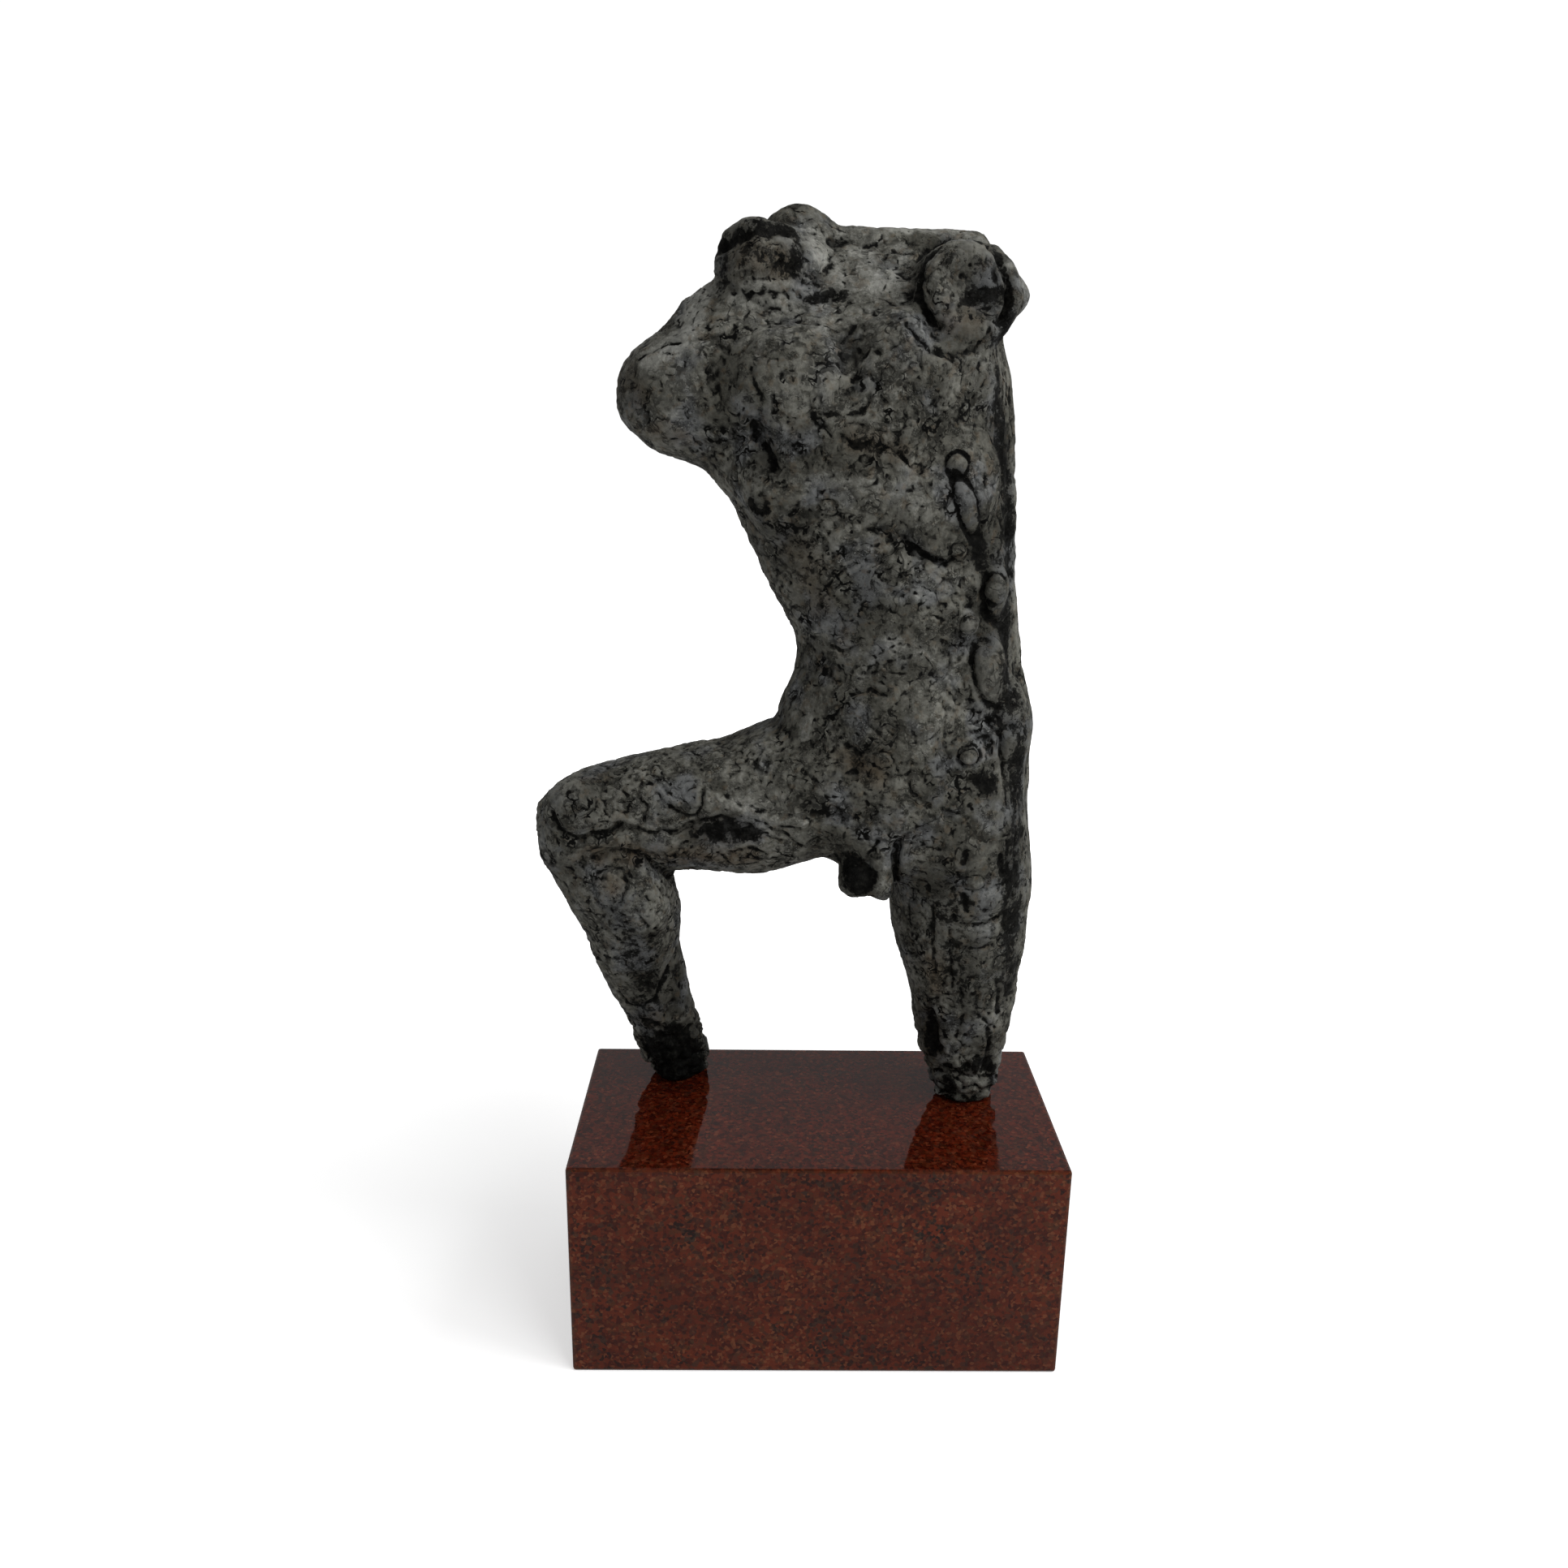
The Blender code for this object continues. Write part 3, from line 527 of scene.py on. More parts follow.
def dabs(points: np.ndarray, span: float, seed: int) -> tuple[np.ndarray, np.ndarray, np.ndarray]:
    """A pattern of dabs of clay side by side.

    Args:
        points: The points, in metres.
        span: The size of one dab, in metres.
        seed: A number that moves the pattern.

    Returns:
        How far each point is from the border of its dab and from the dab's middle, both in spans, and the
        dab's own number from 0 to 1.
    """
    border, middle, own = [], [], []
    for place in (points / span + seed * 7.93).tolist():
        far, cells = noise.voronoi(place)
        border.append(far[1] - far[0])
        middle.append(far[0])
        own.append(noise.cell(cells[0] * 9.7) * 0.5 + 0.5)
    return np.array(border), np.array(middle), np.array(own)


def to_path(points: np.ndarray, path: np.ndarray) -> np.ndarray:
    """The distance from each point to a line through a path's points.

    Args:
        points: The points, in metres.
        path: The path's points in order, in metres.

    Returns:
        One distance for each point, in metres.
    """
    if len(path) == 1:
        return np.linalg.norm(points - path[0], axis=1)
    best = np.full(len(points), np.inf)
    for start, end in zip(path[:-1], path[1:]):
        run = end - start
        along = np.clip(((points - start) @ run) / max(float(run @ run), 1e-12), 0.0, 1.0)
        best = np.minimum(best, np.linalg.norm(points - start - along[:, None] * run, axis=1))
    return best


def smoothed(values: np.ndarray, edges: np.ndarray, steps: int) -> np.ndarray:
    """The values with each one drawn towards its neighbours' mean, some steps in a row.

    Args:
        values: One row for each vertex.
        edges: The mesh's edges, as pairs of vertex numbers.
        steps: How many times.

    Returns:
        The smoothed rows.
    """
    count = len(values)
    first, second = edges[:, 0], edges[:, 1]
    near = np.bincount(first, minlength=count) + np.bincount(second, minlength=count)
    near = np.maximum(near, 1)
    for _ in range(steps):
        total = np.stack([
            np.bincount(first, column[second], count) + np.bincount(second, column[first], count)
            for column in values.T
        ], axis=1)
        values = 0.4 * values + 0.6 * total / near[:, None]
    return values


@dataclass
class ClayFigure:
    """The clay figure: the frame's solid, its surface worked as a modeller's hands and tools leave it."""

    node: str = "figure"
    voxel: float = 0.92 * MM
    first_smoothing: int = 9
    dab_span: float = 11.0 * MM
    dab_height: float = 0.32 * MM
    scrap_span: float = 4.6 * MM
    scrap_height: float = 0.2 * MM
    curl_span: float = 4.4 * MM
    curl_height: float = 0.14 * MM
    groove_span: float = 10.0 * MM
    groove_depth: float = 0.55 * MM
    pit_span: float = 6.0 * MM
    pit_depth: float = 0.6 * MM
    crag_span: float = 8.0 * MM
    crag_height: float = 3.0 * MM
    crag_rise: float = 36.0 * MM
    fullness: float = 0.35 * MM
    seat: float = 95.3 * MM
    seat_clear: float = 0.4 * MM
    seat_fade: float = 2.5 * MM
    flank_from: float = 54 * MM
    flank_fade: float = 8 * MM
    flank_above: float = 190 * MM
    fine_relief: float = 0.16 * MM
    broad_relief: float = 0.7 * MM
    most_triangles: int = 192_000

    def build(self, frame: dict, finish: ClayFinish) -> bpy.types.Object:
        """Makes the figure, dresses it and puts it in place of its solid.

        Args:
            frame: The loaded frame.
            finish: The clay's finish.

        Returns:
            The finished figure.
        """
        piece = self.blank(frame["nodes"][self.node])
        self.work(piece)
        self.thin(piece)
        self.record_relief(piece)
        piece.data.materials.clear()
        piece.data.materials.append(finish.material())
        for face in piece.data.polygons:
            face.use_smooth = True
        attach(piece, "root")
        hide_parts(self.node)
        return piece

    def blank(self, solid: bpy.types.Object) -> bpy.types.Object:
        """A merged, evenly meshed and softened copy of the solid.

        Args:
            solid: The frame's solid for the figure.

        Returns:
            The copy, ready to be worked.
        """
        mesh = bpy.data.meshes.new("clay_figure")
        shape = bmesh.new()
        shape.from_mesh(solid.data)
        bmesh.ops.remove_doubles(shape, verts=shape.verts, dist=1e-6)
        bmesh.ops.recalc_face_normals(shape, faces=shape.faces)
        shape.to_mesh(mesh)
        shape.free()
        piece = bpy.data.objects.new("clay_figure", mesh)
        bpy.context.scene.collection.objects.link(piece)
        rounding = piece.modifiers.new("rounding", "SUBSURF")
        rounding.levels = rounding.render_levels = 1
        skin = piece.modifiers.new("skin", "REMESH")
        skin.mode = "VOXEL"
        skin.voxel_size = self.voxel
        soften = piece.modifiers.new("soften", "SMOOTH")
        soften.factor = 0.5
        soften.iterations = self.first_smoothing
        self.settle(piece)
        return piece

    def settle(self, piece: bpy.types.Object) -> None:
        """Puts what the piece's modifiers make into its mesh, and removes them.

        Args:
            piece: The piece.
        """
        graph = bpy.context.evaluated_depsgraph_get()
        made = bpy.data.meshes.new_from_object(piece.evaluated_get(graph))
        old = piece.data
        piece.modifiers.clear()
        piece.data = made
        made.name = old.name
        bpy.data.meshes.remove(old)

    def read(self, piece: bpy.types.Object) -> tuple[np.ndarray, np.ndarray, np.ndarray]:
        """The piece's vertices, their normals and its edges.

        Args:
            piece: The piece.

        Returns:
            Places in metres, unit normals, and pairs of vertex numbers.
        """
        mesh = piece.data
        places = np.empty(len(mesh.vertices) * 3, np.float32)
        normals = np.empty(len(mesh.vertices) * 3, np.float32)
        edges = np.empty(len(mesh.edges) * 2, np.int32)
        mesh.vertices.foreach_get("co", places)
        mesh.vertex_normals.foreach_get("vector", normals)
        mesh.edges.foreach_get("vertices", edges)
        places, normals = (values.reshape(-1, 3).astype(float) for values in (places, normals))
        return places, normals, edges.reshape(-1, 2)

    def skin(self, piece: bpy.types.Object, places: np.ndarray) -> BVHTree:
        """The piece's surface, for rays to find marks on."""
        return BVHTree.FromPolygons(
            [Vector(place) for place in places], [tuple(face.vertices) for face in piece.data.polygons]
        )

    def pinned(self, tree: BVHTree, path: tuple[Point, ...], side: Side) -> tuple[np.ndarray, Vector]:
        """Finds a mark's points on the surface.

        Args:
            tree: The surface.
            path: The mark's points on that side, in millimetres.
            side: The side it is on.

        Returns:
            The points in metres, and the surface's normal at the first of them.
        """
        found, normal = [], Vector((0.0, -1.0, 0.0))
        for across, up in path:
            start, heading = side.pin(across, up)
            place, facing, _, _ = tree.ray_cast(start, heading)
            if place is None:
                place, facing, _, _ = tree.find_nearest(start + heading * (MISSED_REACH * MM))
            if not found:
                normal = facing
            found.append(tuple(place))
        return np.array(found), normal

    def work(self, piece: bpy.types.Object) -> None:
        """Presses the creases and pellets, then the dabs, scraps, grooves and pits, into the blank.

        Args:
            piece: The blank figure.
        """
        places, normals, edges = self.read(piece)
        normals = smoothed(normals, edges, 3)
        normals /= np.linalg.norm(normals, axis=1)[:, None]
        tree = self.skin(piece, places)
        wash_shade_and_light = self.stains_shade_and_light(tree, places)
        lift = self.marks(tree, places) + self.surface(places, wash_shade_and_light) + self.fullness
        above = places[:, 2] - self.seat
        lift *= np.clip((above - self.seat_clear) / self.seat_fade, 0.0, 1.0)
        places = places + normals * lift[:, None]
        places[:, 2] = np.maximum(places[:, 2], self.seat)
        piece.data.vertices.foreach_set("co", places.astype(np.float32).ravel())
        piece.data.update()

    def marks(self, tree: BVHTree, places: np.ndarray) -> np.ndarray:
        """How far the named creases, pellets and swells move each vertex.

        Args:
            tree: The blank's surface.
            places: Its vertices.

        Returns:
            Outward moves, in metres.
        """
        lift = np.zeros(len(places))
        waver, uneven = self.unsteady(places)
        uneven = 1.0 + 0.5 * uneven
        for crease in CREASES:
            path, _ = self.pinned(tree, crease.path, crease.side)
            close = self.within(places, path, crease.width * MM * CREASE_BOX)
            far = to_path(waver[close], path) / (crease.width * MM)
            shape = np.exp(-3.4 * far**2)
            lip = 0.2 * np.exp(-(((far - 1.15) / 0.35) ** 2))
            lift[close] -= crease.depth * MM * (shape - lip) * uneven[close]
        for pellet in PELLETS:
            lift += self.pressed_on(tree, waver, pellet)
        for swell in SWELLS:
            path, _ = self.pinned(tree, swell.path, swell.side)
            far = to_path(places, path) / (swell.reach * MM)
            lift += swell.lift * MM * np.exp(-1.8 * far**2)
        return lift

    def unsteady(self, places: np.ndarray) -> tuple[np.ndarray, np.ndarray]:
        """Places pushed about a little, and a value around 0, so that marks vary as hand work does."""
        return warped(places, 4.5 * MM, 0.9 * MM, 3), waves(places, 6.0 * MM, 4)

    def within(self, places: np.ndarray, path: np.ndarray, reach: float) -> np.ndarray:
        """Which vertices lie in a box a little larger than a path."""
        low, high = path.min(axis=0) - reach, path.max(axis=0) + reach
        return np.all((places > low) & (places < high), axis=1)

    def across(self, tree: BVHTree, places: np.ndarray, pellet: Pellet) -> np.ndarray:
        """How far each vertex is from a pellet's middle, 1 being its edge.

        Args:
            tree: The surface.
            places: Its vertices.
            pellet: The pellet.

        Returns:
            One value for each vertex.
        """
        path, normal = self.pinned(tree, (pellet.centre,), pellet.side)
        normal = np.array(normal)
        flat = np.cross(normal, (0.0, 0.0, 1.0))
        flat /= max(float(np.linalg.norm(flat)), 1e-6)
        rise = np.cross(flat, normal)
        turn = math.radians(pellet.turn)
        wide = math.cos(turn) * flat + math.sin(turn) * rise
        tall = -math.sin(turn) * flat + math.cos(turn) * rise
        offset = places - path[0]
        apart = (offset @ wide / (pellet.reach[0] * MM)) ** 2
        apart = apart + (offset @ tall / (pellet.reach[1] * MM)) ** 2
        deep = offset @ normal / (max(pellet.reach) * MM * 1.2)
        return np.sqrt(apart + np.maximum(np.abs(deep) - 0.6, 0.0) ** 2 * 9.0)

    def pressed_on(self, tree: BVHTree, places: np.ndarray, pellet: Pellet) -> np.ndarray:
        """How far one pellet moves each vertex.

        Args:
            tree: The blank's surface.
            places: Its vertices, slightly pushed about so that the pellet isn't a true oval.
            pellet: The pellet.

        Returns:
            Outward moves, in metres.
        """
        out = self.across(tree, places, pellet)
        dome = np.clip(1.0 - out**2, 0.0, 1.0) ** 0.6
        groove = np.exp(-(((out - PELLET_GROOVE) / 0.16) ** 2))
        return (pellet.height * dome - pellet.rim * groove) * MM

    def crags(self, places: np.ndarray) -> tuple[np.ndarray, np.ndarray]:
        """The broken lumps at the two leg ends.

        Args:
            places: The vertices.

        Returns:
            How much each vertex belongs to a broken end, and how far it is from a crevice, both 0 to 1.
        """
        broken = np.clip(1.15 - (places[:, 2] - self.seat) / self.crag_rise, 0.0, 1.0)
        ridges = np.abs(waves(warped(places, 6 * MM, 2.5 * MM, 31), self.crag_span, 33, 2))
        return broken, np.clip(ridges * 2.0, 0.0, 1.0)

    def surface(self, places: np.ndarray, wash_shade_and_light: np.ndarray) -> np.ndarray:
        """How far the all-over dabs, scraps, curls, grooves and pits move each vertex.

        Args:
            places: The blank's vertices.
            wash_shade_and_light: How sooty, rusty and chalky each one is, painted shade and light included;
                rubbed, chalky places are smoother.

        Returns:
            Outward moves, in metres.
        """
        rough = 0.45 + 0.75 * np.clip(waves(places, 30 * MM, 11) * 1.8 + 0.5, 0.0, 1.0)
        rough *= 1.0 - 0.55 * wash_shade_and_light[:, 2]
        rough *= 1.0 + 0.5 * wash_shade_and_light[:, 0]
        border, _, own = dabs(warped(places, 8 * MM, 3.0 * MM, 5), self.dab_span, 1)
        pillow = np.clip(border / 0.24, 0.0, 1.0)
        lift = self.dab_height * (0.8 * pillow * pillow * (3.0 - 2.0 * pillow) - 0.6 + 1.3 * (own - 0.5))
        border, _, own = dabs(warped(places, 3.5 * MM, 1.6 * MM, 8), self.scrap_span, 2)
        lift += self.scrap_height * (np.clip(border / 0.2, 0.0, 1.0) - 0.8 + 1.6 * (own - 0.5)) * rough
        curl = waves(warped(places, 6.0 * MM, 5.0 * MM, 10), self.curl_span, 6, 2)
        lift += self.curl_height * np.tanh(3.0 * curl) * rough
        for finer, shallower, seed in ((1.0, 1.0, 7), (0.5, 0.6, 21)):
            pushed = warped(places, 12 * MM, 5 * MM, seed + 2)
            thread = np.abs(waves(pushed, finer * self.groove_span, seed))
            where = np.clip(waves(places, 14 * MM, seed + 5) * 3.0 + 0.1, 0.0, 1.0)
            lift -= shallower * self.groove_depth * np.exp(-((thread / 0.13) ** 2)) * where * rough
        _, middle, own = dabs(places, self.pit_span, 13)
        pit = np.clip(1.0 - middle / (0.12 + 0.16 * own), 0.0, 1.0) * (own > 0.55)
        lift -= self.pit_depth * pit * 1.4 * rough
        flank = np.clip((places[:, 0] - self.flank_from) / self.flank_fade, 0.0, 1.0)
        flank = flank * (places[:, 2] > self.flank_above)
        broken, lump = self.crags(places)
        return lift * (1.0 - 0.6 * flank) + self.crag_height * broken * (lump - 0.42)

    def thin(self, piece: bpy.types.Object) -> None:
        """Thins the mesh to its limit where the surface is calm.

        Args:
            piece: The worked figure.
        """
        triangles = sum(len(face.vertices) - 2 for face in piece.data.polygons)
        if triangles > self.most_triangles:
            fewer = piece.modifiers.new("fewer", "DECIMATE")
            fewer.ratio = self.most_triangles / triangles
            self.settle(piece)
        LOG.info("clay: %d triangles before thinning, %d faces after", triangles, len(piece.data.polygons))

    def stains_shade_and_light(self, tree: BVHTree, places: np.ndarray) -> np.ndarray:
        """How sooty, rusty and chalky each vertex is, with the painted shade and painted light of the named
        patches.

        Args:
            tree: The surface.
            places: Its vertices.

        Returns:
            One row of three for each vertex, each from 0 to 1.
        """
        wash_shade_and_light = np.zeros((len(places), 3))
        blurred = warped(places, 5 * MM, 3.2 * MM, 15)
        waver, uneven = self.unsteady(places)
        for patch in STAINS_SHADE_AND_LIGHT:
            path, _ = self.pinned(tree, patch.path, patch.side)
            close = self.within(places, path, patch.reach * MM * PATCH_BOX)
            far = to_path(blurred[close], path) / (patch.reach * MM)
            strength = np.clip(SOFT_EDGE - far, 0.0, 1.0)
            amount = np.array((patch.soot_and_shade * 0.72, patch.rust, patch.chalk_and_light))
            wash_shade_and_light[close] = np.maximum(wash_shade_and_light[close], strength[:, None] * amount)
        for crease in CREASES:
            path, _ = self.pinned(tree, crease.path, crease.side)
            close = self.within(places, path, crease.width * MM * CREASE_BOX)
            far = to_path(waver[close], path) / (crease.width * MM * (0.5 + 0.3 * uneven[close]))
            wash_shade_and_light[close, 0] = np.maximum(wash_shade_and_light[close, 0], crease.soot_and_shade * np.clip(SOFT_EDGE - far, 0.0, 1.0))
        for pellet in PELLETS:
            path, _ = self.pinned(tree, (pellet.centre,), pellet.side)
            out = self.across(tree, waver, pellet)
            ring = np.exp(-(((out - PELLET_GROOVE) / 0.19) ** 2)) * pellet.rim * 1.5
            ring = ring * np.clip(1.0 + 0.9 * uneven, 0.3, 1.3)
            close = self.within(places, path, max(pellet.reach) * MM * PELLET_BOX)
            wash_shade_and_light[close, 0] = np.maximum(wash_shade_and_light[close, 0], ring[close])
            inside = np.clip((0.95 - out) * 4.0, 0.0, 1.0) * (pellet.rim > 0.5)
            wash_shade_and_light[close, 0] *= 1.0 - 0.6 * inside[close]
            wash_shade_and_light[close, 2] = np.maximum(wash_shade_and_light[close, 2], 0.15 * inside[close])
        broken, lump = self.crags(places)
        wash_shade_and_light[:, 0] = np.maximum(wash_shade_and_light[:, 0], broken * np.clip(1.3 - lump / 0.16, 0.0, 1.0))
        return np.clip(wash_shade_and_light, 0.0, 1.0)

    def record_relief(self, piece: bpy.types.Object) -> None:
        """Writes where the surface is hollow or raised, and where it is stained or carries painted shade and
        light, for the finish to read.

        Args:
            piece: The finished shape.
        """
        places, normals, edges = self.read(piece)
        fine, broad = (
            np.einsum("ij,ij->i", smoothed(places, edges, steps) - places, normals) / depth
            for steps, depth in ((4, self.fine_relief), (30, self.broad_relief))
        )
        relief = np.stack([fine, broad, np.zeros(len(places))], axis=1) * 0.5 + 0.5
        self.store(piece, "relief", np.clip(relief, 0.0, 1.0))
        self.store(piece, "wash_shade_and_light", self.stains_shade_and_light(self.skin(piece, places), places))

    def store(self, piece: bpy.types.Object, name: str, values: np.ndarray) -> None:
        """Keeps three values for each vertex as a named attribute.

        Args:
            piece: The piece.
            name: The attribute's name.
            values: One row of three for each vertex.
        """
        layer = piece.data.color_attributes.new(name, "FLOAT_COLOR", "POINT")
        full = np.concatenate([values, np.ones((len(values), 1))], axis=1)
        layer.data.foreach_set("color", full.astype(np.float32).ravel())


# Finishes


class Recipe:
    """A node tree with short calls for the nodes that these finishes use."""

    def __init__(self, tree: bpy.types.NodeTree) -> None:
        """Starts on a tree, empty or not."""
        self.tree = tree

    def node(self, kind: str, **settings: object) -> bpy.types.Node:
        """Adds a node.

        Args:
            kind: The node's type.
            settings: Its properties by name.

        Returns:
            The node.
        """
        made = self.tree.nodes.new(kind)
        for name, value in settings.items():
            setattr(made, name, value)
        return made

    def feed(self, into: bpy.types.NodeSocket, value: object) -> None:
        """Links an output to an input, or sets the input to a plain value.

        Args:
            into: The input.
            value: An output socket, a number or a colour.
        """
        if isinstance(value, bpy.types.NodeSocket):
            self.tree.links.new(value, into)
        else:
            into.default_value = value

    def math(
        self, kind: str, first: object, second: object = 0.0, clamp: bool = False
    ) -> bpy.types.NodeSocket:
        """Works out one step of arithmetic.

        Args:
            kind: The operation.
            first: A value or an output.
            second: A value or an output.
            clamp: Whether the result stays between 0 and 1.

        Returns:
            The result.
        """
        step = self.node("ShaderNodeMath", operation=kind, use_clamp=clamp)
        self.feed(step.inputs[0], first)
        self.feed(step.inputs[1], second)
        return step.outputs[0]

    def times(self, first: object, second: object) -> bpy.types.NodeSocket:
        """Multiplies two values."""
        return self.math("MULTIPLY", first, second)

    def plus(self, first: object, second: object) -> bpy.types.NodeSocket:
        """Adds two values."""
        return self.math("ADD", first, second)

    def less(self, first: object, second: object, clamp: bool = False) -> bpy.types.NodeSocket:
        """Takes the second value from the first."""
        return self.math("SUBTRACT", first, second, clamp)

    def most(self, first: object, *others: object) -> bpy.types.NodeSocket:
        """The largest of some values.

        Args:
            first: A value or an output.
            others: More of them.

        Returns:
            The largest.
        """
        for other in others:
            first = self.math("MAXIMUM", first, other)
        return first

    def channels(self, colour: object) -> tuple[bpy.types.NodeSocket, ...]:
        """Splits a colour into its three values.

        Args:
            colour: The colour.

        Returns:
            Its red, green and blue.
        """
        parts = self.node("ShaderNodeSeparateColor")
        self.feed(parts.inputs[0], colour)
        return tuple(parts.outputs)

    def axes(self, place: object) -> tuple[bpy.types.NodeSocket, ...]:
        """Splits coordinates into x, y and z.

        Args:
            place: The coordinates.

        Returns:
            Its x, y and z.
        """
        parts = self.node("ShaderNodeSeparateXYZ")
        self.feed(parts.inputs[0], place)
        return tuple(parts.outputs)

    def span(
        self, value: object, low: float, high: float, start: float = 0.0, end: float = 1.0
    ) -> bpy.types.NodeSocket:
        """Turns one range of values into another, smoothly and held at its ends.

        Args:
            value: The value read.
            low: The value that gives start.
            high: The value that gives end.
            start: The result at low.
            end: The result at high.

        Returns:
            The result.
        """
        step = self.node("ShaderNodeMapRange", interpolation_type="SMOOTHSTEP")
        for index, given in enumerate((value, low, high, start, end)):
            self.feed(step.inputs[index], given)
        return step.outputs[0]

    def clouds(self, place: object, scale: object, detail: float = 2.0) -> bpy.types.Node:
        """Adds a cloudy noise.

        Args:
            place: The coordinates.
            scale: Waves to a metre.
            detail: How many finer layers.

        Returns:
            The noise's node.
        """
        made = self.node("ShaderNodeTexNoise")
        self.feed(made.inputs["Vector"], place)
        self.feed(made.inputs["Scale"], scale)
        made.inputs["Detail"].default_value = detail
        return made

    def cloud(
        self, place: object, scale: float, detail: float = 3.0, rough: float = 0.55
    ) -> bpy.types.NodeSocket:
        """Cloudy noise from 0 to 1.

        Args:
            place: The coordinates.
            scale: Waves to a metre.
            detail: How many finer layers.
            rough: How strong those are.

        Returns:
            The value.
        """
        made = self.clouds(place, scale, detail)
        made.inputs["Roughness"].default_value = rough
        return made.outputs["Fac"]

    def cells(self, place: object, scale: object, feature: str = "F1") -> bpy.types.Node:
        """Adds a pattern of cells.

        Args:
            place: The coordinates.
            scale: Cells to a metre.
            feature: What is measured.

        Returns:
            The pattern's node.
        """
        made = self.node("ShaderNodeTexVoronoi", feature=feature)
        self.feed(made.inputs["Vector"], place)
        self.feed(made.inputs["Scale"], scale)
        return made

    def blend(
        self, amount: object, first: object, second: object, kind: str = "MIX"
    ) -> bpy.types.NodeSocket:
        """Mixes two colours.

        Args:
            amount: How much of the second.
            first: A colour or an output.
            second: A colour or an output.
            kind: How they mix.

        Returns:
            The mixed colour.
        """
        made = self.node("ShaderNodeMix", data_type="RGBA", blend_type=kind)
        self.feed(made.inputs[0], amount)
        self.feed(made.inputs[6], first)
        self.feed(made.inputs[7], second)
        return made.outputs[2]

    def shifted(self, place: object, by: object, amount: float) -> bpy.types.NodeSocket:
        """Coordinates moved by a colour or vector.

        Args:
            place: The coordinates.
            by: What moves them, 0.5 being no move.
            amount: The furthest move, in metres.

        Returns:
            The moved coordinates.
        """
        centred = self.node("ShaderNodeVectorMath", operation="SUBTRACT")
        self.feed(centred.inputs[0], by)
        centred.inputs[1].default_value = (0.5, 0.5, 0.5)
        scaled = self.node("ShaderNodeVectorMath", operation="SCALE")
        self.feed(scaled.inputs[0], centred.outputs[0])
        scaled.inputs["Scale"].default_value = amount * 2.0
        moved = self.node("ShaderNodeVectorMath", operation="ADD")
        self.feed(moved.inputs[0], place)
        self.feed(moved.inputs[1], scaled.outputs[0])
        return moved.outputs[0]

    def bump(
        self, shader: bpy.types.Node, height: object, strength: float, depth: float, sunk: bool = False
    ) -> None:
        """Gives a shader fine relief.

        Args:
            shader: The shader.
            height: The height, about 0 to 1.
            strength: How strong the relief shows.
            depth: What a height of 1 stands for, in metres.
            sunk: Whether high values go in.
        """
        made = self.node("ShaderNodeBump", invert=sunk)
        made.inputs["Strength"].default_value = strength
        made.inputs["Distance"].default_value = depth
        self.feed(made.inputs["Height"], height)
        self.feed(shader.inputs["Normal"], made.outputs[0])


def new_group(
    name: str, inputs: dict[str, tuple[str, float]], outputs: tuple[str, ...]
) -> bpy.types.NodeTree:
    """Makes an empty shader node group.

    Args:
        name: Its name.
        inputs: Its inputs' socket types and plain values by name.
        outputs: Its outputs, all of them plain values.

    Returns:
        The group.
    """
    group = bpy.data.node_groups.new(name, "ShaderNodeTree")
    for label, (kind, value) in inputs.items():
        socket = group.interface.new_socket(label, in_out="INPUT", socket_type=kind)
        if kind == "NodeSocketFloat":
            socket.default_value = value
    for label in outputs:
        group.interface.new_socket(label, in_out="OUTPUT", socket_type="NodeSocketFloat")
    return group


